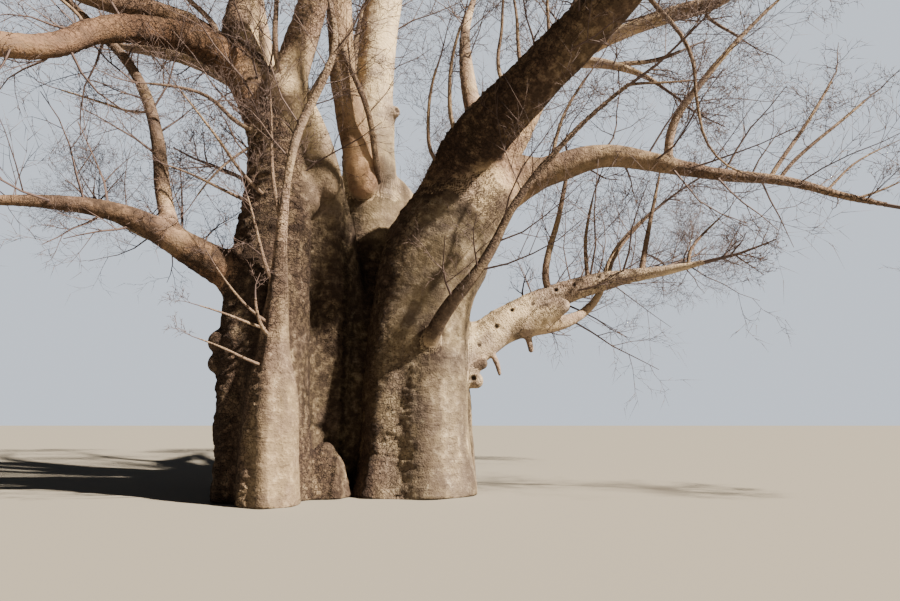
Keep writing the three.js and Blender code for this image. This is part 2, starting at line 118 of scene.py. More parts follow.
boughs = {
    "left_top_bough": {
        "on": "left_stem", "at": 1, "length": 11.6, "heading": (130, 155, 195),
        "climb": (110, 54, 74, 80, 84), "across": (0.96, 0.67, 0.52, 0.4, 0.29, 0.18), "reach": 2.9,
    },
    "left_great_bough": {
        "on": "left_stem", "at": 0.93, "length": 11.6, "heading": (-165, -115, -145, -155),
        "climb": (67, -11, -48, 9, 18, 44), "across": (0.88, 0.6, 0.43, 0.41, 0.32, 0.2), "reach": 3.0,
    },
    "left_upper_bough": {
        "on": "left_stem", "at": 0.99, "length": 11.9, "heading": (-150, -165, -160),
        "climb": (50, -4, 59, 49, 63), "across": (0.67, 0.45, 0.33, 0.29, 0.23, 0.16), "reach": 2.9,
    },
    "left_top_fork": {
        "on": "left_top_bough", "at": 0.4, "length": 7.1, "heading": (-25, -75),
        "climb": (55, 73, 76), "across": (0.42, 0.34, 0.25, 0.15), "reach": 2.7,
    },
    "left_low_bough": {
        "on": "left_stem", "at": 0.43, "length": 6.3, "heading": (-150, -160),
        "climb": (37, 27, 26, 2, -7, -18), "across": (0.77, 0.72, 0.48, 0.32, 0.2, 0.14), "reach": 2.4,
    },
    "left_low_riser": {
        "on": "left_low_bough", "at": 0.33, "length": 6.2, "heading": (-175, -180),
        "climb": (66, 83, 68, 44, 46), "across": (0.34, 0.31, 0.25, 0.21, 0.16, 0.11), "reach": 1.9,
    },
    "slim_front_limb": {
        "on": "front_column", "at": 1, "length": 5.6, "heading": (345, 350, 375),
        "climb": (84, 80, 63, 68, 100, 104), "across": (0.25, 0.15, 0.18, 0.16, 0.13, 0.1), "reach": 1.7,
    },
    "leaning_bough": {
        "on": "leaning_stem", "at": 0.99, "length": 11.6, "heading": (0, -85, -70, -70),
        "climb": (78, 60, 50, 60, 62), "across": (0.72, 0.62, 0.55, 0.42, 0.29, 0.18), "reach": 2.9,
    },
    "smooth_bough": {
        "on": "middle_stem", "at": 1, "length": 13.0, "heading": (385, 430),
        "climb": (89, 81, 72, 85, 84), "across": (1.42, 0.94, 0.95, 0.62, 0.4, 0.2), "reach": 2.9,
    },
    "bulb_bough": {
        "on": "middle_stem", "at": 0.96, "length": 13.2, "heading": (-100, -295),
        "climb": (51, 84, 89, 77, 79), "across": (0.82, 0.63, 0.64, 0.43, 0.3, 0.18), "reach": 2.8,
    },
    "right_great_bough": {
        "on": "right_stem", "at": 0.8, "length": 16.3, "heading": (-45, -40, -15),
        "climb": (88, 27, 30, 38, 56, 69), "across": (1.42, 1.17, 0.91, 0.64, 0.42, 0.2), "reach": 3.0,
    },
    "right_great_fork": {
        "on": "right_great_bough", "at": 0.45, "length": 9.4, "heading": (-60, -100, -55),
        "climb": (80, 61, 77, 76), "across": (0.52, 0.43, 0.33, 0.24, 0.16), "reach": 2.8,
    },
    "right_long_bough": {
        "on": "right_stem", "at": 1, "length": 9.1, "heading": (-15,),
        "climb": (10, 18, -16, -17, -8, -24, -17), "across": (1.89, 0.7, 0.5, 0.3, 0.2, 0.1), "reach": 2.3,
    },
    "right_back_bough": {
        "on": "right_stem", "at": 0.92, "length": 14.2, "heading": (20, 5),
        "climb": (51, 64, 65, 62, 71), "across": (0.83, 0.69, 0.51, 0.41, 0.27, 0.16), "reach": 2.9,
    },
    "right_upper_bough": {
        "on": "right_back_bough", "at": 0.3, "length": 10.8, "heading": (-15, -20),
        "climb": (52, 19, 5, 73, 53, 78), "across": (0.41, 0.35, 0.36, 0.29, 0.22, 0.15), "reach": 2.7,
    },
    "right_inner_limb": {
        "on": "right_upper_bough", "at": 0.1, "length": 2.4, "heading": (-20, -25),
        "climb": (-8, -26, -47), "across": (0.3, 0.27, 0.2, 0.14, 0.09), "reach": 1.3,
    },
    "right_long_riser": {
        "on": "right_long_bough", "at": 0.52, "length": 4.4, "heading": (-45, -10),
        "climb": (97, 48, 45, 41), "across": (0.2, 0.2, 0.16, 0.13, 0.1, 0.07), "reach": 1.7,
    },
    "right_slender_limb": {
        "on": "right_stem", "at": 0.42, "length": 7.7, "heading": (-85, -10, -25),
        "climb": (-7, 46, 40, 66, 50, 42, 29), "across": (0.35, 0.33, 0.23, 0.16, 0.12, 0.08), "reach": 1.7,
    },
    "right_low_bough": {
        "on": "right_stem", "at": 0.36, "length": 7.1, "heading": (20, -30),
        "climb": (24, 38, 32, 17, 4, 8), "across": (1.01, 0.91, 0.77, 0.5, 0.29, 0.11), "reach": 1.0,
    },
    "right_low_fork": {
        "on": "right_low_bough", "at": 0.33, "length": 5.1, "heading": (-15, 25, -15),
        "climb": (-4, 5, 37, 75, 50, 37), "across": (0.55, 0.4, 0.2, 0.14, 0.11, 0.08), "reach": 1.5,
    },
    "back_left_bough": {
        "on": "back_left_stem", "at": 1, "length": 13.2, "heading": (165, 130),
        "climb": (43, 41, 28, 23, 22, 33), "across": (1.15, 1.08, 0.82, 0.56, 0.38, 0.2), "reach": 3.1,
    },
    "back_left_fork": {
        "on": "back_left_bough", "at": 0.3, "length": 8.2, "heading": (145, 90),
        "climb": (90, 65, 62, 60), "across": (0.59, 0.45, 0.33, 0.25, 0.17), "reach": 2.9,
    },
    "back_left_low_bough": {
        "on": "back_left_stem", "at": 0.5, "length": 10.4, "heading": (165, 140),
        "climb": (20, 30, 21, 21, 28), "across": (0.68, 0.57, 0.44, 0.32, 0.18), "reach": 2.9,
    },
    "back_right_bough": {
        "on": "back_right_stem", "at": 1, "length": 14.2, "heading": (35, 45),
        "climb": (59, 39, 48, 43, 42, 42), "across": (1.3, 1.21, 0.9, 0.65, 0.42, 0.2), "reach": 3.1,
    },
    "back_right_fork": {
        "on": "back_right_bough", "at": 0.22, "length": 9.4, "heading": (115, 60),
        "climb": (67, 65, 55, 66), "across": (0.64, 0.5, 0.38, 0.28, 0.17), "reach": 2.9,
    },
    "back_right_low_bough": {
        "on": "back_right_stem", "at": 0.5, "length": 10.0, "heading": (35,),
        "climb": (-13, 22, 30, 14, 14), "across": (0.69, 0.63, 0.5, 0.36, 0.18), "reach": 2.9,
    },
    "back_middle_bough": {
        "on": "middle_stem", "at": 0.9, "length": 14.5, "heading": (115, 65),
        "climb": (52, 73, 70, 51, 53), "across": (0.97, 0.86, 0.6, 0.4, 0.18), "reach": 2.9,
    },
    "back_far_bough": {
        "on": "back_right_stem", "at": 0.8, "length": 9.6, "heading": (85,),
        "climb": (26, 37, 32, 34), "across": (0.78, 0.7, 0.54, 0.36, 0.18), "reach": 3.0,
    },
}

sprouts = {
    "left_sprouts": {
        "on": "left_stem", "at": 0.68, "heading": 180, "climb": 28, "across": 0.12, "reach": 1.4,
    },
}

# Knobs and folds that stand out of the limbs, each a short fused limb of its own
knobs = {
    "left_knob": {
        "on": "left_stem", "at": 0.34, "length": 0.88, "heading": (212,), "climb": (8, -4),
        "across": (0.8, 0.7, 0.48),
    },
    "left_low_knob": {
        "on": "left_stem", "at": 0.3, "length": 0.86, "heading": (206,), "climb": (8, -10),
        "across": (0.7, 0.6, 0.44),
    },
    "bulb": {
        "on": "bulb_bough", "at": 0.17, "length": 1.76, "heading": (20,), "climb": (-70, -84),
        "across": (0.5, 0.6, 0.72, 0.8, 0.72),
    },
    "elbow_left_lobe": {
        "on": "leaning_stem", "at": 0.78, "length": 0.95, "heading": (-95,), "climb": (-20, -75),
        "across": (0.8, 0.7, 0.5),
    },
    "elbow_right_lobe": {
        "on": "leaning_stem", "at": 0.8, "length": 0.85, "heading": (-50,), "climb": (-10, -70),
        "across": (0.8, 0.66, 0.44),
    },
    "smooth_knob": {
        "on": "smooth_bough", "at": 0.14, "length": 0.6, "heading": (-20,), "climb": (8,),
        "across": (0.7, 0.46, 0.3),
    },
    "low_nub": {
        "on": "right_low_fork", "at": 0.1, "length": 0.95, "heading": (-20,), "climb": (26,),
        "across": (0.5, 0.46, 0.34),
    },
    "low_stub": {
        "on": "right_low_bough", "at": 0.4, "length": 0.85, "heading": (-20,), "climb": (-60, -82),
        "across": (0.34, 0.13, 0.15, 0.13),
    },
    "low_inner_stub": {
        "on": "right_low_bough", "at": 0.25, "length": 0.9, "heading": (-30,), "climb": (-41, -80),
        "across": (0.34, 0.12, 0.14, 0.1),
    },
    "low_flap": {
        "on": "right_low_bough", "at": 0.08, "length": 0.85, "heading": (-15,), "climb": (-5, -30),
        "across": (0.7, 0.5, 0.34),
    },
    "broken_stub": {
        "on": "right_stem", "at": 0.4, "length": 1.45, "heading": (0,), "climb": (-13, 22),
        "across": (0.5, 0.4, 0.26),
    },
}

# Small hollows, painted dark with shade in and round them: the limb each is in, where along it, the way it
# opens, and how wide it is
hollows = [
    ("smooth_knob", 1.0, -50, 0, 0.14),
    ("low_flap", 0.8, -60, -10, 0.13),
    ("right_low_bough", 0.22, -85, -8, 0.08),
    ("right_low_bough", 0.30, -80, 14, 0.10),
    ("right_low_bough", 0.35, -78, 36, 0.09),
    ("right_low_bough", 0.43, -85, 12, 0.08),
    ("right_low_bough", 0.52, -80, 28, 0.10),
    ("right_low_bough", 0.58, -80, 22, 0.09),
    ("right_low_bough", 0.66, -80, 30, 0.07),
    ("right_stem", 0.72, -70, 5, 0.12),
    ("right_stem", 0.61, -40, 8, 0.10),
]

# Slim limbs: what each grows on and where, length, headings, climbs, and how thick it is at foot and tip
slimLimbs = {
    "left_upper_shoot": ("left_great_bough", 0.17, 2.4, (-170,), (127, 13, 17, 27), (0.19, 0.11)),
    "left_dark_shoot": ("left_great_bough", 0.15, 1.7, (-200, -125), (164, 57, 31, 45), (0.19, 0.11)),
    "left_far_shoot": ("left_great_bough", 0.38, 1.6, (-185, -195), (74, 45, 38, 41), (0.09, 0.06)),
    "left_riser_shoot": ("left_low_riser", 0.46, 2.2, (170, 175), (-3, 22, 20, 19), (0.08, 0.04)),
    "left_stem_shoot": ("left_stem", 0.88, 3.0, (-90, -155, -160), (-65, -6, 46, 3, -6), (0.15, 0.06)),
    "left_front_shoot": ("left_stem", 0.69, 3.3, (-80, -150, -170), (-45, 18, 53, 50, 51), (0.12, 0.04)),
    "left_hanging_shoot": ("left_stem", 0.83, 2.3, (-120, -165), (-26, -42, -52, -63), (0.1, 0.04)),
    "left_low_shoot": ("left_stem", 0.67, 2.4, (-115, -175), (-29, 11, 22, 17), (0.12, 0.04)),
    "elbow_shoot": ("leaning_bough", 0.03, 2.7, (-104, -86), (-25, 62, 92, 88, 86), (0.18, 0.1)),
    "crossing_limb": ("middle_stem", 1, 6.6, (-50, -185, -180), (-23, 80, 65, 73, 73), (0.22, 0.1)),
    "leaning_limb": ("leaning_stem", 0.67, 5.6, (-135, -50, -10), (-65, 74, 83, 45, 63), (0.19, 0.08)),
    "column_fan": ("front_column", 0.68, 1.6, (-130, -150), (15, 42, 55), (0.09, 0.03)),
    "column_side_fan": ("front_column", 0.67, 1.5, (-125, -165), (5, 18, 14), (0.09, 0.03)),
    "column_foot_fan": ("front_column", 0.52, 1.5, (-125, -165), (5, 24, 18), (0.09, 0.03)),
    "column_fork": ("front_column", 0.65, 1.0, (-110, -120), (-8, 54, 84), (0.11, 0.06)),
    "column_shoot": ("front_column", 0.83, 1.9, (-130, -145), (46, 70, 73, 69), (0.12, 0.04)),
    "column_riser": ("slim_front_limb", 0.08, 2.5, (195, 235, 265), (73, 77, 84, 85, 76), (0.12, 0.04)),
    "shoulder_shoot": ("right_great_bough", 0.17, 2.9, (-170, -80, -25), (-11, 58, 90, 72, 70), (0.15, 0.07)),
    "shoulder_riser": ("right_great_bough", 0.12, 2.7, (-175, -90, -35), (-18, 36, 86, 74, 67), (0.13, 0.07)),
    "great_shoot": ("right_great_bough", 0.25, 2.7, (195, 150, 130), (24, 79, 103, 91, 107), (0.13, 0.06)),
    "great_riser": ("right_great_bough", 0.27, 2.2, (150, 115), (58, 84, 90, 74), (0.13, 0.07)),
    "great_twin": ("right_great_bough", 0.31, 1.5, (225, 270), (63, 80, 85, 74), (0.12, 0.06)),
    "great_hanger": ("right_great_bough", 0.44, 4.6, (30, 15, 5), (-34, -37, -93, -80, -16), (0.13, 0.04)),
    "upper_hanger": ("right_upper_bough", 0.42, 1.3, (-35, -20), (-93, -54, -44, -47), (0.12, 0.07)),
    "inner_fork": ("right_inner_limb", 0.46, 1.8, (0, 10), (10, 6, 20, 30), (0.17, 0.1)),
    "long_riser": ("right_long_bough", 0.75, 2.9, (0, 10), (58, 52, 53, 56, 57), (0.13, 0.07)),
    "long_shoot": ("right_long_bough", 0.77, 2.7, (-10, 5), (56, 42, 38, 39, 40), (0.11, 0.07)),
    "long_end_shoot": ("right_long_bough", 0.88, 1.6, (0,), (44, 45, 31, 25), (0.08, 0.04)),
    "long_tip_shoot": ("right_long_bough", 0.94, 1.0, (0,), (14, 21, 25), (0.08, 0.04)),
    "slender_fork": ("right_slender_limb", 0.75, 1.8, (0,), (80, 72, 60, 55), (0.1, 0.06)),
    "slender_tip": ("right_slender_limb", 1, 1.2, (0,), (10, 1, 4, 7), (0.08, 0.04)),
    "low_riser": ("right_low_bough", 0.52, 3.1, (35, -5), (127, 78, 70, 78, 78), (0.23, 0.12)),
    "low_thin_riser": ("right_low_bough", 0.65, 2.0, (0,), (95, 92, 80, 75), (0.14, 0.07)),
    "low_back_riser": ("right_low_bough", 0.71, 2.1, (45, 0), (74, 55, 46, 44), (0.12, 0.07)),
    "low_end_riser": ("right_low_bough", 0.81, 2.4, (0,), (79, 76, 76), (0.18, 0.07)),
    "low_tip_riser": ("right_low_bough", 0.96, 1.4, (0,), (97, 53, 43, 43), (0.11, 0.04)),
}

flare = {"share": 0.09, "height": 0.7}
folds = {"share": 0.042, "counts": (3, 5, 7), "fade": 5.5, "seed": 101}
rootDepth = 0.6
slimness = 0.8  # how thick the slim limbs are, of what their list says


def spreadAt(values, share):
    return np.interp(share, np.linspace(0, 1, len(values)), values)


def pointing(heading, climb):
    turn, rise = np.radians(heading), np.radians(climb)
    return np.stack([np.cos(rise) * np.cos(turn), np.cos(rise) * np.sin(turn), np.sin(rise)], axis=-1)


# The same row of numbers each time, between 0 and 1
seedRange = 4294967296


def seededNumbers(seed):
    factor, step = 1664525, 1013904223
    state = seed
    while True:
        state = (state * factor + step) % seedRange
        yield state / seedRange


def traceLimb(limb, start, leadHeading=(), leadClimb=(), lead=0.0):
    heading = (*leadHeading, *limb["heading"])
    climb = (*leadClimb, *limb["climb"])
    share = np.linspace(0, 1, lineSteps + 1)
    middle = (np.arange(lineSteps) + 0.5) / lineSteps
    stride = limb["length"] / lineSteps
    strides = pointing(spreadAt(heading, middle), spreadAt(climb, middle)) * stride
    turn = np.radians(spreadAt(heading, share))
    forward = pointing(spreadAt(heading, share), spreadAt(climb, share))
    side = np.stack([np.sin(turn), -np.cos(turn), np.zeros_like(turn)], axis=-1)
    return {
        "point": np.vstack([start, start + np.cumsum(strides, axis=0)]),
        "forward": forward,
        "side": side,
        "over": np.cross(side, forward),
        "radius": spreadAt(limb["across"], share) / 2,
        "along": lead + share * limb["length"],
        "heading": spreadAt(heading, share),
        "climb": spreadAt(climb, share),
    }


def stationAt(line, share):
    i = round(share * lineSteps)
    return {key: line[key][i] for key in ("point", "forward", "radius", "along", "heading", "climb")}


# Every fused limb's line, with the piece it belongs to and the chain of limbs that it runs on in
lines = {}
for name, stem in stems.items():
    line = traceLimb(stem, np.array([*stem["foot"], 0.0]))
    lines[name] = {**line, "owner": "trunk", "chain": name}
for name, bough in boughs.items():
    start = stationAt(lines[bough["on"]], bough["at"])
    if bough["at"] == 1:
        foot = start["point"] + start["forward"] * gap
        line = traceLimb(bough, foot, (start["heading"],), (start["climb"],), start["along"])
        lines[name] = {**line, "owner": name, "chain": lines[bough["on"]]["chain"]}
    else:
        lines[name] = {**traceLimb(bough, start["point"]), "owner": name, "chain": name}
for name, knob in knobs.items():
    start = stationAt(lines[knob["on"]], knob["at"])
    line = traceLimb(knob, start["point"])
    lines[name] = {**line, "owner": lines[knob["on"]]["owner"], "chain": name}

slimLines = {}
for name, (bearer, at, length, heading, climb, across) in slimLimbs.items():
    start = stationAt({**lines, **slimLines}[bearer], at)
    across = [value * slimness for value in across]
    limb = {"length": length, "heading": heading, "climb": climb, "across": across}
    slimLines[name] = traceLimb(limb, start["point"])

holePlaces, holeRadii = [], np.array([hollow[4] / 2 for hollow in hollows])
for name, at, heading, climb, _ in hollows:
    start = stationAt(lines[name], at)
    holePlaces.append(start["point"] + pointing(heading, climb) * start["radius"])
holePlaces = np.array(holePlaces)
print("limbs traced")


# The bark's form: all limbs fused with soft fillets, and meshed piece by piece
skin = {
    "fillet": 0.8,          # of the slimmer limb's radius
    "mostFillet": 0.24,
    "sharp": {"bulb": 0.05, "low_nub": 0.08, "left_knob": 0.1, "left_low_knob": 0.1},
    "overlap": 3.0,         # voxels by which two pieces lie over each other
    "block": 16,            # voxels a side in each block that is worked out at once
    "band": 3.0,            # voxels either side of the surface that are worked out
    "flatWithin": 0.3,      # voxels from a cut within which a face lies in it
    "frontVoxel": 0.033,
    "nearVoxel": 0.038,
    "farVoxel": 0.06,
}
farBoughs = {"left_top_bough", "left_top_fork", "right_great_fork"}
farBoughs |= {name for name in boughs if name.startswith("back")}

# The trunk is three pieces, cut by upright planes: (axis, place, side)
trunkCuts = {
    "trunk_bark_left": ((1, 1.1, -1), (0, -0.35, -1)),
    "trunk_bark_right": ((1, 1.1, -1), (0, -0.35, 1)),
    "trunk_bark_back": ((1, 1.1, 1),),
}


# Straight stretches of a limb's line, to measure from; a stem has half as many, and starts below the ground
def stretchesOf(name):
    line = lines[name]
    stride = 2 if name in stems else 1
    points, radii = line["point"][::stride], line["radius"][::stride]
    if name in stems:
        points = np.vstack([points[0] - line["forward"][0] * rootDepth, points])
        radii = np.concatenate([[radii[0]], radii])
        radii = radii * (1 + flare["share"] * np.exp(-np.maximum(points[:, 2], 0) / flare["height"]))
    step = points[1:] - points[:-1]
    return {
        "foot": points[:-1],
        "step": step,
        "length": np.linalg.norm(step, axis=1),
        "radius": radii[:-1],
        "growth": radii[1:] - radii[:-1],
    }


stretches = {name: stretchesOf(name) for name in lines}


farAway = 9.0


# How far outside a limb each point lies, the limb's radius there, and the place on its line
def measure(points, name, chosen=None):
    part = stretches[name]
    chosen = np.arange(len(part["foot"])) if chosen is None else chosen
    foot, step, length = part["foot"][chosen], part["step"][chosen], part["length"][chosen]
    radius, growth = part["radius"][chosen], part["growth"][chosen]
    dot = points @ step.T - np.sum(foot * step, axis=1)
    share = np.clip(dot / length**2, 0, 1)
    squared = np.sum(points**2, axis=1)[:, None] - 2 * points @ foot.T + np.sum(foot**2, axis=1)
    squared += share * (share * length**2 - 2 * dot)
    outside = np.sqrt(np.maximum(squared, 0)) - (radius + share * growth)
    best = np.argmin(outside, axis=1)
    row = np.arange(len(points))
    share = share[row, best]
    return outside[row, best], radius[best] + share * growth[best], chosen[best] + share


# The fused form, from each limb's own distance: limbs of one chain just run on, others get a fillet
def fuse(measured):
    chains = {}
    for name, (outside, radius, _) in measured.items():
        chain = lines[name]["chain"]
        if chain in chains:
            known, knownRadius = chains[chain]
            radius = np.where(outside < known, radius, knownRadius)
            outside = np.minimum(outside, known)
        chains[chain] = (outside, radius)
    total, totalRadius = next(iter(chains.values()))
    for chain, (outside, radius) in list(chains.items())[1:]:
        most = skin["sharp"].get(chain, skin["mostFillet"])
        width = np.minimum(skin["fillet"] * np.minimum(radius, totalRadius), most)
        share = np.maximum(1 - np.abs(total - outside) / width, 0)
        totalRadius = np.where(outside < total, radius, totalRadius)
        total = np.minimum(total, outside) - share**2 * width / 4
    return total


# Limbs that pass near a ball, and which of their stretches do
def nearStretches(centre, radius):
    found = {}
    for name, part in stretches.items():
        middle = part["foot"] + part["step"] / 2
        reach = part["length"] / 2 + part["radius"] + np.maximum(part["growth"], 0) + radius
        near = np.flatnonzero(np.linalg.norm(middle - centre, axis=1) < reach)
        if len(near):
            found[name] = near
    return found


# Less than 0 inside one piece: inside the fused form, nearer to its own limbs than to others, and inside
# its cuts and above the ground
def pieceField(points, near, owner, cuts, overlap):
    measured = {name: measure(points, name, chosen) for name, chosen in near.items()}
    far = np.full(len(points), farAway)
    own = [value[0] for name, value in measured.items() if lines[name]["owner"] == owner]
    others = [value[0] for name, value in measured.items() if lines[name]["owner"] != owner]
    bound = np.minimum.reduce([far, *own]) - np.minimum.reduce([far, *others]) - overlap
    walls = [(place - points[:, axis]) * side - overlap for axis, place, side in cuts]
    form = np.maximum(fuse(measured), -outsideHollows(points))
    return np.maximum.reduce([form, bound, -points[:, 2], *walls])


def outsideHollows(points):
    return (np.linalg.norm(points[:, None] - holePlaces, axis=2) - holeRadii).min(axis=1)


def ownBlocks(owner, size):
    blocks = set()
    for name in (name for name, line in lines.items() if line["owner"] == owner):
        part = stretches[name]
        for foot, step, radius in zip(part["foot"], part["step"], part["radius"]):
            margin = radius + skin["mostFillet"]
            low = np.floor((np.minimum(foot, foot + step) - margin) / size).astype(int)
            high = np.floor((np.maximum(foot, foot + step) + margin) / size).astype(int)
            for x in range(low[0], high[0] + 1):
                for y in range(low[1], high[1] + 1):
                    for z in range(max(low[2], -1), high[2] + 1):
                        blocks.add((x, y, z))
    return sorted(blocks)


def meshPiece(owner, voxel, cuts=()):
    size, band, overlap = skin["block"] * voxel, skin["band"], skin["overlap"] * voxel
    half = size * math.sqrt(3) / 2
    shape = (skin["block"],) * 3
    ticks = np.arange(skin["block"]) * voxel
    cell = np.stack(np.meshgrid(ticks, ticks, ticks, indexing="ij"), axis=-1).reshape(-1, 3)
    grid = openvdb.FloatGrid(background=band)
    for block in ownBlocks(owner, size):
        corner = np.array(block) * size
        centre = corner + size / 2
        near = nearStretches(centre, half + skin["mostFillet"])
        if not near or pieceField(centre[None], near, owner, cuts, overlap)[0] > 2 * half + band * voxel:
            continue
        field = pieceField(cell + corner, near, owner, cuts, overlap) / voxel
        if field.min() < band:
            first = tuple(int(v) * skin["block"] for v in block)
            grid.copyFromArray(np.clip(field, -band, band).reshape(shape), ijk=first)
    points, quads = grid.convertToQuads(0.0)
    return points.astype(float) * voxel, quads[:, ::-1].astype(np.int64)


# Flat cuts are meshed as one face each: their small faces go, and the open rim is closed
def closeCuts(mesh, planes, voxel):
    form = bmesh.new()
    form.from_mesh(mesh)
    near = voxel * skin["flatWithin"]
    for axis, place in planes:
        flat = [face for face in form.faces if all(abs(v.co[axis] - place) < near for v in face.verts)]
        if flat:
            bmesh.ops.delete(form, geom=flat, context="FACES")
    rims = [edge for edge in form.edges if edge.is_boundary]
    bmesh.ops.holes_fill(form, edges=rims, sides=0)
    loose = [v for v in form.verts if not v.link_faces]
    bmesh.ops.delete(form, geom=loose, context="VERTS")
    form.to_mesh(mesh)
    form.free()


# Soft seeded noise from 0 to 1, with its own size along each of three directions
noiseSize = 8192
seedStep = 17.3
noiseTable = np.random.default_rng(12).random(noiseSize)


def noise(places, sizes, seed):
    scaled = places / np.array(sizes) + seed * seedStep
    low = np.floor(scaled).astype(np.int64)
    share = scaled - low
    share = share * share * (3 - 2 * share)
    total = 0
    for corner in np.ndindex(2, 2, 2):
        at = low + corner
        mix = at[:, 0] * 73856093 ^ at[:, 1] * 19349663 ^ at[:, 2] * 83492791
        weight = np.prod(np.where(corner, share, 1 - share), axis=1)
        total = total + weight * noiseTable[(mix ^ (mix >> 13)) & (noiseSize - 1)]
    return total


# From 0 where values are low to 1 where they are high
def rise(values, low, high):
    return np.clip((values - low) / (high - low), 0, 1)


# Relief of the bark in metres: depth, and size across and along the limb
bark = {
    "flutes": (0.055, 0.36, 2.6),
    "lumps": (0.060, 0.48, 0.6),
    "knots": (0.036, 0.17, 0.14),
    "grain": (0.024, 0.09, 0.07),
    "wrinkles": (0.036, 0.42, 0.10),
    "wrinkleBend": (0.16, 0.3, 0.4),
    "knotShare": (0.15, 1.3),       # of the knots, on smooth bark, and how much more on rough
    "grainShare": (0.2, 1.0),       # and of the grain
    "wrinkleBreaks": (0.16, 0.3),   # size across and along of the stretches where wrinkles break off
    "unbroken": (0.3, 0.6),         # values of their noise between which wrinkles set in again
    "wrinkleRidge": (0.74, 0.96),   # share of the way to a wrinkle's middle where it sets in and is deepest
    "patches": (1.3, 1.6),          # size across and along of rough and smooth patches
    "patchiness": 1.1,
    "leftRoughAndShade": 0.4,             # how much rougher bark is on its left, away from the key light, than on its sunny right: real bumps, and a darker mauve colour there that is painted shade
    "pitDepth": 0.024,
    "pitSpace": 0.30,
    "pitRadius": (0.035, 0.065),
    "pitShare": 0.55,           # of the places for a pit that have one
    "pitSquash": 0.8,           # what distances along the limb count for in it
    "pitted": (0.3, 0.6),       # roughness between which pits set in
    "pitGrowth": 1.4,           # they reach full depth on limbs this much slimmer than other relief does
    "blend": 0.30,              # metres over which one limb's bark gives way to the next one's
    "fullAt": 0.6,              # radius from which the relief has its full depth
    "least": 0.24,              # share of the depth left on the slimmest
    "groundTo": 0.03,           # height up to which bark isn't moved up or down
    "openAir": 1.0,             # metres in front of bark that are looked at for the painted recess shade
    "recessShadeShares": (0.35, 0.85),  # shares of them lost to other limbs between which painted shade darkens the bark
    "darkestRecessShade": 0.8,         # how dark that painted shade gets there
    "paintedShadeTo": (5.0, 5.9),    # heights between which the stems' own painted shade fades out
    "recessShadeTo": (6.9, 8.3),  # and between which their painted recess shade does
    "paintedShadeFrom": (0.6, 1.4),    # metres along a bough over which its painted shade sets in
    "stainFade": 0.6,           # share of it that is gone at the bough's tip
    "young": (0.05, 0.45),      # radii between which smooth young bark gives way to old
    # Painted shade: how dark pits and wrinkle grooves are painted
    "darkPit": 0.9,
    "darkWrinkle": 0.4,
    "darkCrease": (1.6, 0.35),  # how steeply painted shade darkens the crease where two limbs meet, and by how much
    "darkDip": (0.05, 0.6),     # metres of depth of a dip that would be fully dark with painted shade, and the darkest it gets
    "darkRim": 0.02,            # metres round a hollow that are painted dark with shade
}

# What each limb's bark is like: how rusty, from grey-beige 0 to orange-brown 1, how rough, and how much
# painted shade darkens it
limbBark = {
    "left_stem": (0.15, 0.85, 0.3), "front_column": (0.18, 0.5, 0), "left_web": (0.15, 0.5, 0.75),
    "leaning_stem": (0.1, 0.5, 0.75), "middle_stem": (0.1, 0.4, 0.5), "heart_stem": (0.1, 0.4, 0.7),
    "right_stem": (0, 0.44, 0), "right_lobe": (0.03, 0.35, 0), "recess_toe": (0.2, 0.8, 1.0),
    "left_knob": (0.1, 1.0, 0), "left_low_knob": (0.1, 1.0, 0), "left_top_bough": (0.2, 1.0, 0.25),
    "left_great_bough": (0.7, 0.8, 1.0), "left_upper_bough": (0.5, 0.8, 0.8),
    "left_low_bough": (0.6, 0.6, 1.5), "left_low_riser": (0.4, 0.6, 1.1),
    "slim_front_limb": (0.15, 1.0, 0.5), "leaning_bough": (0.2, 0.75, 0.1),
    "smooth_bough": (0, 0.3, 0.15), "smooth_knob": (0, 0.4, 0.1), "bulb_bough": (0.4, 0.3, 0.6),
    "bulb": (0.55, 0.1, 0), "right_great_bough": (0.3, 0.6, 1.2), "right_long_bough": (0.35, 0.6, 0.9),
    "right_slender_limb": (0.2, 0.7, 1.0), "right_low_bough": (0, 0.6, 0.1), "low_nub": (0, 0.6, 0),
    "low_flap": (0, 0.6, 0), "right_back_bough": (0.3, 0.5, 0.2),
}
barkElsewhere = (0.18, 0.5, 0.15)


# Small round pits, one at most in each cell of a jittered grid
def pits(places):
    space = bark["pitSpace"]
    scaled = places / space
    low = np.floor(scaled).astype(np.int64)
    mix = low[:, 0] * 92837111 ^ low[:, 1] * 689287499 ^ low[:, 2] * 283923481
    salts = (17, 911, 3301, 5003, 7121)
    draws = [noiseTable[(mix ^ (mix >> 11) ^ salt) & (noiseSize - 1)] for salt in salts]
    middle = low + 0.3 + 0.4 * np.stack(draws[:3], axis=-1)
    least, most = bark["pitRadius"]
    radius = least + (most - least) * draws[3]
    away = np.linalg.norm((scaled - middle) * space * (1, 1, bark["pitSquash"]), axis=1) / radius
    return np.maximum(1 - away**2, 0) ** 1.5 * (draws[4] < bark["pitShare"])


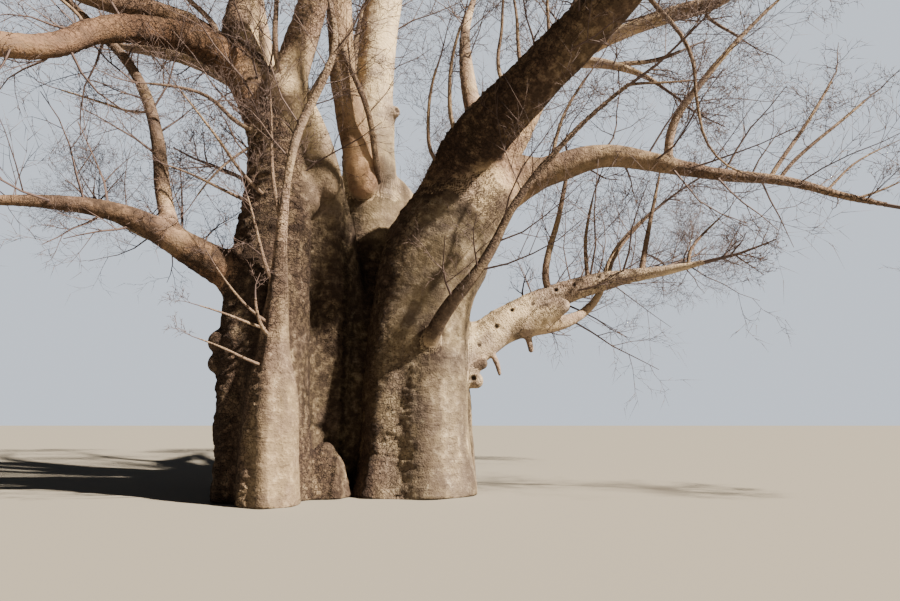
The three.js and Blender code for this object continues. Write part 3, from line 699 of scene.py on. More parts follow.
# Bark of one limb in its own straightened frame: across, over and along
def barkOf(name, points, radius, at):
    line = lines[name]
    count = len(stretches[name]["foot"])
    share = np.maximum((at - 1) / (count - 1), 0) if name in stems else at / count
    station, stations = share * lineSteps, np.arange(lineSteps + 1)
    picked = {
        key: np.stack([np.interp(station, stations, line[key][:, i]) for i in range(3)], axis=-1)
        for key in ("point", "side", "over", "forward")
    }
    out = points - picked["point"]
    across, over, ahead = (np.sum(out * picked[key], axis=1) for key in ("side", "over", "forward"))
    along = np.interp(station, stations, line["along"]) + ahead
    chainSeed = sum(map(ord, line["chain"])) % 97
    places = np.stack([across, over, along + chainSeed * 3.1], axis=-1)

    wide, tall = bark["patches"]
    patch = noise(places, (wide, wide, tall), 7)
    # Bark facing away from the key light gets rougher: real bumps, and a darker mauve colour that paints
    # shade on that side
    sunny = out[:, 0] / np.maximum(np.linalg.norm(out, axis=1), 0.01)
    rough = limbBark.get(name, barkElsewhere)[1]
    rough = np.clip(rough + (patch - 0.5) * bark["patchiness"] - bark["leftRoughAndShade"] * sunny, 0, 1)
    height = 0
    (knots, moreKnots), (grain, moreGrain) = bark["knotShare"], bark["grainShare"]
    shares = {
        "flutes": 1, "lumps": 1,
        "knots": knots + moreKnots * rough**2, "grain": grain + moreGrain * rough,
    }
    for seed, (key, share) in enumerate(shares.items()):
        depth, wide, tall = bark[key]
        height = height + share * depth * (noise(places, (wide, wide, tall), seed + 1) - 0.5)

    bend, wide, tall = bark["wrinkleBend"]
    bent = places + np.stack([0 * along, 0 * along, bend * noise(places, (wide, wide, tall), 9)], axis=-1)
    wide, tall = bark["wrinkleBreaks"]
    unbroken = rise(noise(places, (wide, wide, tall), 13), *bark["unbroken"])
    depth, wide, tall = bark["wrinkles"]
    ridge = 1 - np.abs(2 * noise(bent, (wide, wide, tall), 10) - 1)
    groove = rise(ridge, *bark["wrinkleRidge"]) * rough * unbroken
    hole = pits(places) * rise(rough, *bark["pitted"])
    grown = np.clip(radius / bark["fullAt"], bark["least"], 1)
    pitGrown = np.clip(grown * bark["pitGrowth"], 0, 1)
    height = (height - depth * groove) * grown - bark["pitDepth"] * hole * pitGrown
    if name in stems:
        draw = seededNumbers(folds["seed"] + list(stems).index(name))
        angle = np.arctan2(across, over)
        fold = sum(np.cos(n * angle + next(draw) * 2 * math.pi) for n in folds["counts"])
        fade = folds["share"] * np.exp(-np.maximum(points[:, 2], 0) / folds["fade"])
        height = height + radius * fade * fold
    # Painted shade in the pits and wrinkle grooves
    hollow = np.clip(bark["darkPit"] * hole + bark["darkWrinkle"] * groove, 0, 1)
    return height, hollow, rough, places


# From 1 on the lower trunk to 0 at the height where a kind of painted shade ends
def lowDown(points, kind):
    return 1 - rise(points[:, 2], *bark[kind])


# Painted shade for recesses: from 0 in the open to 1 where another limb stands close in front
def paintedRecessShadeAt(points, normals):
    ahead = points + normals * bark["openAir"]
    clear = np.full(len(points), bark["openAir"])
    for name, part in stretches.items():
        ends = np.vstack([part["foot"], part["foot"][-1] + part["step"][-1]])
        reach = part["radius"].max() + bark["openAir"]
        near = np.all((ahead > ends.min(axis=0) - reach) & (ahead < ends.max(axis=0) + reach), axis=1)
        rows = np.flatnonzero(near)
        if len(rows):
            clear[rows] = np.minimum(clear[rows], measure(ahead[rows], name)[0])
    return bark["darkestRecessShade"] * rise(1 - clear / bark["openAir"], *bark["recessShadeShares"])


# Writes a value or a vector for each point of a mesh
def writeMark(mesh, key, values, kind="FLOAT"):
    field = "vector" if kind == "FLOAT_VECTOR" else "value"
    values = np.asarray(values, dtype=bool if kind == "BOOLEAN" else np.float32)
    mesh.attributes.new(key, kind, "POINT").data.foreach_set(field, values.ravel())


# Moves a mesh's points out or in by the bark's relief, and notes what the bark's colours go by, painted shade
# among them
def layBark(mesh, owner):
    count = len(mesh.vertices)
    points, normals = np.empty(count * 3), np.empty(count * 3, dtype=np.float32)
    mesh.vertices.foreach_get("co", points)
    mesh.vertex_normals.foreach_get("vector", normals)
    points, normals = points.reshape(-1, 3), normals.reshape(-1, 3).astype(float)
    found = {}
    for name, part in stretches.items():
        ends = np.vstack([part["foot"], part["foot"][-1] + part["step"][-1]])
        reach = part["radius"].max() + bark["blend"] + skin["mostFillet"]
        near = np.all((points > ends.min(axis=0) - reach) & (points < ends.max(axis=0) + reach), axis=1)
        rows = np.flatnonzero(near)
        if len(rows):
            found[name] = (rows, *measure(points[rows], name))
    nearest = np.full(count, farAway)
    for rows, outside, _, _ in found.values():
        nearest[rows] = np.minimum(nearest[rows], outside)
    kinds = ("weight", "height", "hollow", "rust", "rough", "young", "stain")
    sums = {key: np.zeros(count) for key in kinds}
    strongest, places = np.zeros(count), np.zeros((count, 3))
    for name, (rows, outside, radius, at) in found.items():
        weight = np.maximum(1 - (outside - nearest[rows]) / bark["blend"], 0) ** 2
        kept = weight > 0
        rows, weight, radius, at = rows[kept], weight[kept], radius[kept], at[kept]
        if not len(rows):
            continue
        height, hollow, rough, own = barkOf(name, points[rows], radius, at)
        young = 1 - rise(radius, *bark["young"])
        rusty, _, stain = limbBark.get(name, barkElsewhere)
        # A limb's painted shade: on stems it fades out up the trunk, on boughs it sets in past the foot and
        # fades towards the tip
        if name in stems:
            stain = stain * lowDown(points[rows], "paintedShadeTo")
        else:
            stain = stain * rise(at * stretches[name]["length"][0], *bark["paintedShadeFrom"])
            stain = stain * (1 - bark["stainFade"] * at / len(stretches[name]["foot"]))
        values = (1, height, hollow, rusty, rough, young, np.minimum(stain, 1))
        for key, value in zip(kinds, values):
            sums[key][rows] += weight * value
        stronger = weight > strongest[rows]
        strongest[rows[stronger]] = weight[stronger]
        places[rows[stronger]] = own[stronger]
    weight = np.maximum(sums["weight"], 1e-6)
    height = sums["height"] / weight
    onGround = points[:, 2] < bark["groundTo"]
    normals[onGround, 2] = 0
    moved = points + normals * height[:, None]
    moved[:, 2] = np.where(onGround, points[:, 2], np.maximum(moved[:, 2], 0))
    points = moved
    mesh.vertices.foreach_set("co", points.ravel())
    pure = strongest / weight
    # Painted shade in the creases where limbs meet, in the relief's dips and round the hollows
    (steep, darkest), (depth, mostDip) = bark["darkCrease"], bark["darkDip"]
    crease = darkest * np.clip((1 - pure) * steep, 0, 1)
    dip = np.clip(-height / depth, 0, mostDip)
    tone = np.clip(sums["hollow"] / weight + crease + dip, 0, 1)
    tone = np.maximum(tone, np.clip(1 - outsideHollows(points) / bark["darkRim"], 0, 1))
    marks = {key: sums[key] / weight for key in ("rust", "rough", "young", "stain")}
    marks.update(hollow=tone, pure=pure)
    # Painted shade in the trunk's recesses, where other limbs stand close in front, is added to its painted
    # shade
    if owner == "trunk":
        shaded = paintedRecessShadeAt(points, normals) * lowDown(points, "recessShadeTo")
        marks["stain"] = np.clip(marks["stain"] + shaded, 0, 1)
    for key, value in marks.items():
        writeMark(mesh, key, value)
    writeMark(mesh, "limb", places, "FLOAT_VECTOR")
    mesh.update()


def addPiece(name, mesh, material, node):
    mesh.materials.clear()
    mesh.materials.append(material)
    piece = bpy.data.objects.new(name, mesh)
    bpy.context.scene.collection.objects.link(piece)
    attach(piece, "root")
    if node:
        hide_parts(node)


# sRGB hex to linear
def colour(code):
    parts = [int(code[i:i + 2], 16) / 255 for i in (1, 3, 5)]
    return (*[v / 12.92 if v <= 0.04045 else ((v + 0.055) / 1.055) ** 2.4 for v in parts], 1)


# Adds a node: settings by name, then inputs by name or number, each a value or a socket to link from
def add(tree, kind, inputs=None, **settings):
    node = tree.nodes.new(kind)
    for key, value in settings.items():
        setattr(node, key, value)
    for key, value in (inputs or {}).items():
        if isinstance(value, bpy.types.NodeSocket):
            tree.links.new(value, node.inputs[key])
        else:
            node.inputs[key].default_value = value
    return node


# Old baobab bark: thin, matt and leathery, beige where weathered and mauve-brown where rough. Painted shade
# darkens its folds, pits, wrinkles, cracks and hollows, its recesses and its shaded limbs. The limb's own
# frame carries the wrinkles round it and the streaks along it.
barkLook = {
    # The near-black shade colour is painted shade; the dark colour is for random specks and for painted shade
    # in pits, wrinkles, cracks and hollows
    "beige": "#D6C29F", "pale": "#EDE0C2", "grey": "#A39484", "mauve": "#8A7466", "rust": "#A4683C",
    "young": "#8A786B", "dark": "#2A1F1B", "stain": "#2A1F19",
    "roughness": 0.88, "specular": 0.2, "relief": 0.035,
    "pit": 0.12,            # metres from one fine pit to the next
    "crack": 0.11,          # and from one crack to the next
    "crackBend": 0.07,      # how far cracks wander
    # Clouds of noise: the place that they go by, size in metres, detail, roughness and distortion
    "clouds": {
        "blotch": ("place", 0.85, 5, 0.55, 0),
        "streak": ("tall", 0.2, 4, 0.55, 0),
        "mottle": ("place", 0.16, 5, 0.65, 0),
        "speck": ("place", 0.04, 3, 0.6, 0),
        "wrinkle": ("wide", 0.05, 3, 0.6, 0.6),
    },
    # Smooth steps: what they go by, from and to which value of it, and their own first and last value
    "steps": {
        "greyBlotch": ("blotch", 0.4, 0.64, 0, 1),
        "paleMottle": ("mottle", 0.55, 0.7, 0, 0.5),
        "greyStreak": ("streak", 0.52, 0.72, 0, 0.55),
        "roughHere": ("rough", 0.3, 0.85, 0, 1),
        "roughBlotch": ("blotch", 0.3, 0.6, 0.55, 1),
        "mauveMottle": ("mottle", 0.3, 0.65, 1, 0.5),
        "rustMottle": ("mottle", 0.25, 0.7, 0.6, 1),
        "youngBlotch": ("blotch", 0.3, 0.7, 0.35, 0.85),
        # Painted shade, broken up by the mottle
        "paintedShadeMottle": ("mottle", 0.7, 0.4, 0.7, 0.95),
        "darkSpeck": ("speck", 0.46, 0.3, 0, 1),
        # Painted shade in the wrinkle grooves and in the hollows
        "darkWrinkle": ("wrinkle", 0.42, 0.32, 0, 0.4),
        "paintedHollowShade": ("hollow", 0.1, 1, 0, 0.8),
        "pitSpot": ("pitMiddle", 0.16, 0.096, 0, 1),
        "pitRough": ("rough", 0.25, 0.7, 0.15, 1),
        "pitRust": ("rust", 0.2, 0.7, 1, 0.3),
        "crackLine": ("crackEdge", 0, 0.07, 1, 0),
        "crackRough": ("rough", 0.35, 0.8, 0, 1),
        "fineness": ("rough", 0, 1, 0.35, 1.2),
    },
    "products": {
        "mauveShare": ("roughHere", "roughBlotch", "mauveMottle"),
        "rustShare": ("rust", "rustMottle"),
        "youngShare": ("young", "youngBlotch"),
        "paintedShadeShare": ("stain", "paintedShadeMottle"),
        "speckShare": ("rough", "darkSpeck"),
        "wrinkleShare": ("pure", "darkWrinkle"),
        "wrinkleHeight": ("pure", "wrinkle"),
        "pitHeight": ("pitSpot", "pitRough", "pitRust"),
        # The pit and crack shares are painted shade where the bump dips
        "pitShare": ("pitHeight", 0.8),
        "crackHere": ("crackRough", "pure", "crackLine"),
        "crackShare": ("crackHere", 0.55),
        "crackHeight": ("crackHere", 0.8),
    },
    # Layers of colour over the beige, each with its share. The near-black shade layer is painted shade on
    # recesses and shaded limbs, and the dark wrinkle, pit, crack and hollow layers are painted shade in the
    # relief's dips
    "layers": (
        ("greyBlotch", "grey"), ("paleMottle", "pale"), ("greyStreak", "grey"), ("mauveShare", "mauve"),
        ("rustShare", "rust"), ("youngShare", "young"), ("paintedShadeShare", "stain"), ("speckShare", "dark"),
        ("wrinkleShare", "dark"), ("pitShare", "dark"), ("crackShare", "dark"), ("paintedHollowShade", "dark"),
    ),
    # What is done to the specks, one after the other, for the height that the bump goes by
    "heights": (
        ("ADD", "wrinkleHeight"), ("MULTIPLY", "fineness"), ("ADD", "mottle"), ("SUBTRACT", "pitHeight"),
        ("SUBTRACT", "crackHeight"),
    ),
}


def makeBark(name):
    look = barkLook
    material = bpy.data.materials.new(name)
    material.use_nodes = True
    tree = material.node_tree
    shader = tree.nodes["Principled BSDF"]
    known = {"place": add(tree, "ShaderNodeTexCoord").outputs["Object"]}
    limb = add(tree, "ShaderNodeAttribute", attribute_name="limb").outputs["Vector"]
    for key in ("hollow", "rust", "rough", "young", "pure", "stain"):
        known[key] = add(tree, "ShaderNodeAttribute", attribute_name=key).outputs["Fac"]
    for key, scale in (("tall", (1, 1, 0.2)), ("wide", (0.2, 0.2, 1))):
        known[key] = add(tree, "ShaderNodeMapping", {"Vector": limb, "Scale": scale}).outputs[0]
    for key, (place, size, detail, rough, bend) in look["clouds"].items():
        inputs = {"Vector": known[place], "Scale": 1 / size, "Detail": detail, "Roughness": rough}
        known[key] = add(tree, "ShaderNodeTexNoise", {**inputs, "Distortion": bend}).outputs["Fac"]

    # Cells with a pit in the middle of each, and cells on bent places with a crack along their edges
    inputs = {"Vector": known["place"], "Scale": 1 / look["pit"]}
    known["pitMiddle"] = add(tree, "ShaderNodeTexVoronoi", inputs).outputs["Distance"]
    inputs = {"Vector": limb, "Scale": 1 / look["crack"], "Detail": 1}
    bend = add(tree, "ShaderNodeTexNoise", inputs).outputs["Color"]
    shift = add(tree, "ShaderNodeVectorMath", {0: bend, 3: look["crackBend"]}, operation="SCALE")
    bent = add(tree, "ShaderNodeVectorMath", {0: limb, 1: shift.outputs[0]}, operation="ADD")
    inputs = {"Vector": bent.outputs[0], "Scale": 1 / look["crack"]}
    cells = add(tree, "ShaderNodeTexVoronoi", inputs, feature="DISTANCE_TO_EDGE")
    known["crackEdge"] = cells.outputs["Distance"]

    for key, (value, low, high, first, last) in look["steps"].items():
        inputs = {"Value": known[value], "From Min": low, "From Max": high, "To Min": first, "To Max": last}
        step = add(tree, "ShaderNodeMapRange", inputs, interpolation_type="SMOOTHSTEP")
        known[key] = step.outputs["Result"]
    for key, (first, *others) in look["products"].items():
        known[key] = known[first]
        for other in others:
            inputs = {0: known[key], 1: known.get(other, other)}
            known[key] = add(tree, "ShaderNodeMath", inputs, operation="MULTIPLY").outputs[0]
    tone = colour(look["beige"])
    for share, over in look["layers"]:
        inputs = {0: known[share], 6: tone, 7: colour(look[over])}
        tone = add(tree, "ShaderNodeMix", inputs, data_type="RGBA").outputs[2]
    height = known["speck"]
    for kind, key in look["heights"]:
        height = add(tree, "ShaderNodeMath", {0: height, 1: known[key]}, operation=kind).outputs[0]
    bump = add(tree, "ShaderNodeBump", {"Strength": 1, "Distance": look["relief"], "Height": height})
    tree.links.new(tone, shader.inputs["Base Color"])
    tree.links.new(bump.outputs[0], shader.inputs["Normal"])
    shader.inputs["Roughness"].default_value = look["roughness"]
    shader.inputs["Specular IOR Level"].default_value = look["specular"]
    return material


trunkBark = makeBark("weathered_baobab_bark")

# Bare twigs: thin smooth bark, purple-grey and matt
twigLook = {"purple": "#41363A", "brown": "#59463B", "roughness": 0.8, "patch": 0.6}


def makeTwigBark():
    material = bpy.data.materials.new("bare_twig_bark")
    material.use_nodes = True
    tree = material.node_tree
    shader = tree.nodes["Principled BSDF"]
    place = add(tree, "ShaderNodeTexCoord").outputs["Object"]
    inputs = {"Vector": place, "Scale": 1 / twigLook["patch"], "Detail": 2}
    patch = add(tree, "ShaderNodeTexNoise", inputs).outputs[0]
    inputs = {0: patch, 6: colour(twigLook["purple"]), 7: colour(twigLook["brown"])}
    mixed = add(tree, "ShaderNodeMix", inputs, data_type="RGBA")
    tree.links.new(mixed.outputs[2], shader.inputs["Base Color"])
    shader.inputs["Roughness"].default_value = twigLook["roughness"]
    return material


twigBark = makeTwigBark()
print("materials made")


def makeSkin(name, owner, voxel, cuts=()):
    points, quads = meshPiece(owner, voxel, cuts)
    mesh = bpy.data.meshes.new(name)
    mesh.from_pydata(points, [], quads)
    overlap = skin["overlap"] * voxel
    planes = [(2, 0.0), *((axis, place + side * -overlap) for axis, place, side in cuts)]
    if owner == "trunk":
        closeCuts(mesh, planes, voxel)
    mesh.shade_smooth()
    layBark(mesh, owner)
    addPiece(name, mesh, trunkBark, owner)


for name, cuts in trunkCuts.items():
    voxel = skin["farVoxel"] if name.endswith("back") else skin["frontVoxel"]
    makeSkin(name, "trunk", voxel, cuts)
print("trunk meshed")
for name in boughs:
    voxel = skin["farVoxel"] if name in farBoughs else skin["nearVoxel"]
    makeSkin(name + "_bark", name, voxel)
print("boughs meshed")


# Twigs, first by the model's own rule. Each list goes by rank, from the stem of a mass outwards.
twigRule = {
    "borne": (7, 2, 0),
    "parts": (4, 1, 1),
    "stemShare": 1.5,
    "firstShare": (0.14, 0.35),
    "lastShare": 0.94,
    "spread": (50, 44),
    "faceTurn": 30,
    "lengthShare": (0.5, 0.55),
    "lengthRange": (0.75, 1.25),
    "taper": 0.6,
    "thickness": 0.4,
    "bend": 17,
    "lift": 0.16,
    "tries": (1, 0.72, 0.5),
    "sides": 3,
    "seed": 7001,
    "stride": 31,
}
heartShare, massGap, limbGap, footAllowance, sproutDepth = 0.72, 0.05, 0.025, 0.35, 0.8

masses = {}
for name, bough in boughs.items():
    tip = stationAt(lines[name], 1)
    foot = tip["point"] + tip["forward"] * gap
    masses[name + "_twigs"] = {
        "foot": foot, "forward": tip["forward"], "radius": tip["radius"], "reach": bough["reach"],
    }
for name, sprout in sprouts.items():
    start = stationAt(lines[sprout["on"]], sprout["at"])
    forward = pointing(sprout["heading"], sprout["climb"])
    foot = start["point"] + forward * start["radius"] * sproutDepth
    radius = sprout["across"] / 2
    masses[name] = {"foot": foot, "forward": forward, "radius": radius, "reach": sprout["reach"]}
for mass in masses.values():
    mass["heart"] = mass["foot"] + mass["forward"] * heartShare * mass["reach"]
hearts = np.array([mass["heart"] for mass in masses.values()])
reaches = np.array([mass["reach"] for mass in masses.values()])
modelLines = [lines[name] for name in (*stems, *boughs)]
limbPoints = np.vstack([line["point"] for line in modelLines])
limbRadii = np.concatenate([line["radius"] for line in modelLines])


def limbDistance(points):
    away = np.linalg.norm(points[:, None] - limbPoints, axis=2) - limbRadii
    return away.min(axis=1)


# Inside the ball of its own mass, and on its own side of the half-way faces to the other hearts
def inSpace(points, mass):
    away = np.linalg.norm(points[:, None] - hearts, axis=2)
    row = np.arange(len(points))
    own = away[row, mass].copy()
    away[row, mass] = np.inf
    return (own <= reaches[mass]) & (away.min(axis=1) > own + massGap)


def unit(v):
    return v / np.linalg.norm(v, axis=-1, keepdims=True)


def traceTwig(twig, draw):
    parts = twigRule["parts"][twig["rank"]]
    turn = math.tan(math.radians(twigRule["bend"])) / math.sqrt(parts)
    forward, point = twig["forward"].copy(), twig["foot"].copy()
    side = unit(np.array([-forward[1], forward[0], 0]))
    stations = []
    for part in range(parts + 1):
        over = np.cross(side, forward)
        radius = 0 if part == parts else twig["radius"] * (1 - twigRule["taper"] * part / parts)
        stations.append((point.copy(), forward.copy(), side.copy(), over, radius))
        point = point + forward * twig["length"] / parts
        forward = forward + side * (2 * next(draw) - 1) * turn
        forward = forward + over * (2 * next(draw) - 1) * turn
        forward = unit(forward + np.array([0, 0, twigRule["lift"] / parts]))
        side = unit(side - forward * (side @ forward))
    return stations


def twigFits(stations, order, rank):
    mass = list(masses.values())[order]
    for start, end in zip(stations, stations[1:]):
        if not inSpace(end[0][None], np.array([order]))[0]:
            return False
        between = start[0] + np.array([0.25, 0.5, 0.75, 1])[:, None] * (end[0] - start[0])
        atFoot = (rank == 0) & (np.linalg.norm(between - mass["foot"], axis=1) < footAllowance)
        if not np.all(atFoot | (limbDistance(between) > start[4] + limbGap)):
            return False
    return True


def bornTwig(bearer, stations, share, order, draw):
    rank = bearer["rank"]
    place = share * (len(stations) - 1)
    before = min(int(place), len(stations) - 2)
    point, forward, side, over, _ = stations[before]
    face = 360 / twigRule["sides"] * (order + 0.5)
    turn = math.radians(face + twigRule["faceTurn"] * (next(draw) - 0.5))
    spread = math.radians(twigRule["spread"][rank])
    outwards = side * math.sin(turn) + over * math.cos(turn)
    shortest, longest = twigRule["lengthRange"]
    proportion = shortest + (longest - shortest) * next(draw)
    return {
        "foot": point + (stations[before + 1][0] - point) * (place - before),
        "forward": forward * math.cos(spread) + outwards * math.sin(spread),
        "length": bearer["length"] * twigRule["lengthShare"][rank] * proportion,
        "radius": bearer["radius"] * (1 - twigRule["taper"] * share) * twigRule["thickness"],
        "rank": rank + 1,
    }


def placeTwig(twig, order, seed):
    for share in twigRule["tries"]:
        tried = {**twig, "length": twig["length"] * share}
        stations = traceTwig(tried, seededNumbers(seed))
        if twigFits(stations, order, twig["rank"]):
            return tried, stations
    return None, None


# The twigs that the model has, as (twig, stations)
def growMass(mass, order):
    draw = seededNumbers(twigRule["seed"] + twigRule["stride"] * order)
    waiting = [{**mass, "length": mass["reach"] * twigRule["stemShare"], "rank": 0}]
    grown = []
    while waiting:
        twig = waiting.pop(0)
        tried, stations = placeTwig(twig, order, math.floor(next(draw) * seedRange))
        if tried is None:
            continue
        grown.append((tried, stations))
        borne = twigRule["borne"][twig["rank"]]
        for i in range(borne):
            first = twigRule["firstShare"][twig["rank"]]
            share = first + (twigRule["lastShare"] - first) * (i + next(draw)) / borne
            waiting.append(bornTwig(tried, stations, share, i, draw))
    return grown


# Then finer twigs by the same rule, all of a rank at once. The first two numbers of "borne" are those that
# the model's own stems and twigs bear on top of theirs.
finer = {
    "borne": (6, 5, 5, 4, 3),
    "parts": (4, 3, 2, 1, 1),
    "spread": (52, 46, 44, 42, 40),
    "lengthShare": (0.45, 0.55, 0.56, 0.58, 0.62),
    "thickness": 0.6,
    "taper": 0.7,
    "firstShare": 0.16,
    "leastRadius": 0.0055,
    "leastHeight": 0.3,     # nothing grows lower above the ground
    "sparse": (2.9, 0.45),  # masses of less reach than this bear fewer, by this power of their reach
    "bend": 26,
    "sweptTo": 2,           # twigs up to this rank are swept along their line, finer ones are made of cones
    "coneShare": 1.3,       # how far a cone reaches into the next one
    "atOnce": 4000,         # points that are looked at in one go
    "limbStride": 2,        # every second point of a limb's line is kept clear of
    "seed": 41,
}
chance = np.random.default_rng(finer["seed"])


# Traces many twigs at once: rows of feet, directions, lengths and thicknesses
def traceMany(foot, forward, length, radius, parts):
    turn = math.tan(math.radians(finer["bend"])) / math.sqrt(parts)
    level = np.stack([-forward[:, 1], forward[:, 0], np.full(len(forward), 1e-9)], axis=-1)
    side, point = unit(level), foot
    points, forwards, sides = [point], [forward], [side]
    for _ in range(parts):
        point = point + forward * (length / parts)[:, None]
        over = np.cross(side, forward)
        bends = (2 * chance.random((2, len(foot), 1)) - 1) * turn
        forward = forward + side * bends[0] + over * bends[1]
        forward = unit(forward + np.array([0, 0, twigRule["lift"] / parts]))
        side = unit(side - forward * np.sum(side * forward, axis=1, keepdims=True))
        points.append(point)
        forwards.append(forward)
        sides.append(side)
    points, forwards, sides = (np.stack(rows, axis=1) for rows in (points, forwards, sides))
    return {
        "points": points, "forwards": forwards, "sides": sides,
        "length": length, "radius": radius, "radii": taperOf(radius, parts),
    }


def taperOf(radius, parts):
    return radius[:, None] * (1 - finer["taper"] * np.linspace(0, 1, parts + 1))


def bearMany(rows, rank, borne):
    parts = rows["points"].shape[1] - 1
    count = len(rows["length"])
    bearer = np.repeat(np.arange(count), borne)
    order = np.tile(np.arange(borne), count)
    first = finer["firstShare"]
    share = first + (twigRule["lastShare"] - first) * (order + chance.random(len(order))) / borne
    place = share * parts
    before = np.minimum(place.astype(int), parts - 1)
    start, end = rows["points"][bearer, before], rows["points"][bearer, before + 1]
    forward, side = rows["forwards"][bearer, before], rows["sides"][bearer, before]
    over = np.cross(side, forward)
    face = 360 / twigRule["sides"] * (order + 0.5 + chance.random(len(order)))
    turn = np.radians(face + twigRule["faceTurn"] * (chance.random(len(order)) - 0.5))[:, None]
    spread = math.radians(finer["spread"][rank])
    outwards = side * np.sin(turn) + over * np.cos(turn)
    shortest, longest = twigRule["lengthRange"]
    proportion = shortest + (longest - shortest) * chance.random(len(order))
    thick = rows["radius"][bearer] * (1 - finer["taper"] * share) * finer["thickness"]
    return {
        "foot": start + (end - start) * (place - before)[:, None],
        "forward": forward * math.cos(spread) + outwards * math.sin(spread),
        "length": rows["length"][bearer] * finer["lengthShare"][rank] * proportion,
        "radius": np.maximum(thick, finer["leastRadius"]),
        "mass": rows["mass"][bearer],
    }


# Keeps the twigs whose stations stay in their mass's space, where they have one, and clear of the limbs
def keepFitting(rows):
    points = rows["points"][:, 1:]
    flat = points.reshape(-1, 3)
    mass = np.repeat(rows["mass"], points.shape[1])
    fits = flat[:, 2] > finer["leastHeight"]
    massed = mass >= 0
    for part in np.array_split(np.arange(len(flat)), len(flat) // finer["atOnce"] + 1):
        away = np.sqrt(np.maximum(squaredAway(flat[part], coarsePoints), 0)) - coarseRadii
        fits[part] &= away.min(axis=1) > limbGap
        inner = part[massed[part]]
        fits[inner] &= inSpace(flat[inner], mass[inner])
    fits = fits.reshape(len(points), -1).all(axis=1)
    return {key: value[fits] for key, value in rows.items()}


def squaredAway(points, others):
    return np.sum(points**2, axis=1)[:, None] - 2 * points @ others.T + np.sum(others**2, axis=1)


coarsePoints, coarseRadii = limbPoints[::finer["limbStride"]], limbRadii[::finer["limbStride"]]
fullReach, thinning = finer["sparse"]
fullness = np.append(np.minimum((reaches / fullReach) ** thinning, 1), 1)  # the last is for the shoots


def growFiner(rows, rank, kept, borne):
    while rank < len(borne):
        born = bearMany(rows, rank, borne[rank])
        stays = chance.random(len(born["mass"])) < fullness[born["mass"]]
        born = {key: value[stays] for key, value in born.items()}
        mass = born.pop("mass")
        traced = traceMany(**born, parts=finer["parts"][rank])
        rows = keepFitting({**traced, "mass": mass})
        rank += 1
        kept.append((rank, rows))


def gather(stations, twigs, order):
    points = np.array([[at[0] for at in row] for row in stations])
    radius = np.array([twig["radius"] for twig in twigs])
    return {
        "points": points,
        "forwards": np.array([[at[1] for at in row] for row in stations]),
        "sides": np.array([[at[2] for at in row] for row in stations]),
        "length": np.array([twig["length"] for twig in twigs]),
        "radius": radius,
        "radii": taperOf(radius, points.shape[1] - 1),
        "mass": np.full(len(twigs), order),
    }


def joinRows(parts):
    return {key: np.concatenate([part[key] for part in parts]) for key in parts[0]}


grownByRank = {0: [], 1: [], 2: []}
for order, mass in enumerate(masses.values()):
    grown = growMass(mass, order)
    for rank in grownByRank:
        chosen = [(twig, stations) for twig, stations in grown if twig["rank"] == rank]
        if chosen:
            grownByRank[rank].append(gather([row[1] for row in chosen], [row[0] for row in chosen], order))
kept = []
model = {rank: joinRows(parts) for rank, parts in grownByRank.items()}
print("model's own twigs", [len(rows["length"]) for rows in model.values()])
for rank, rows in model.items():
    kept.append((rank, rows))
    growFiner(rows, rank, kept, finer["borne"])

# Shoots stand all along the outer part of the boughs and on the slim limbs, and bear twigs as well
shoots = {
    "boughs": (0.28, 0.4),      # where along each they start, and the metres from one to the next
    "stems": {"left_stem": (0.62, 0.28)},
    "slimLimbs": (0.35, 0.3),
    "length": (0.9, 3.0),
    "parts": 4,
    "shortFrom": (0.1, 0.45),   # shoots on limbs of less radius are shorter, down to this share
    "thickness": 0.22,          # of their limb's
    "radius": (0.008, 0.03),
    "depth": 0.8,
    "forward": 0.5,
    "lift": 0.35,
    "leastHeight": 1.2,
    "tips": (1.2, 0.9),         # length and thickness of the one that goes on from a slim limb's tip
    "bare": ("column_fan", "column_side_fan", "column_foot_fan", "column_fork", "left_low_shoot"),
    "bareTip": 0.5,
    "borne": (0, 4, 4, 3),
}


def growShoots(line, start, space):
    length = line["along"][-1] - line["along"][0]
    count = max(int(length * (1 - start) / space), 2)
    share = start + (1 - start) * (np.arange(count) + chance.random(count)) / count
    at = np.round(share * lineSteps).astype(int)
    turn = chance.random(count)[:, None] * 2 * np.pi
    outwards = line["side"][at] * np.sin(turn) + line["over"][at] * np.cos(turn)
    forward = unit(outwards + line["forward"][at] * shoots["forward"] + np.array([0, 0, shoots["lift"]]))
    limbRadius = line["radius"][at]
    (least, most), (full, shortest) = shoots["length"], shoots["shortFrom"]
    size = (least + (most - least) * chance.random(count)) * np.clip(limbRadius / full, shortest, 1)
    radius = np.clip(limbRadius * shoots["thickness"], *shoots["radius"])
    foot = line["point"][at] + forward * (limbRadius * shoots["depth"])[:, None]
    return {"foot": foot, "forward": forward, "length": size, "radius": radius}


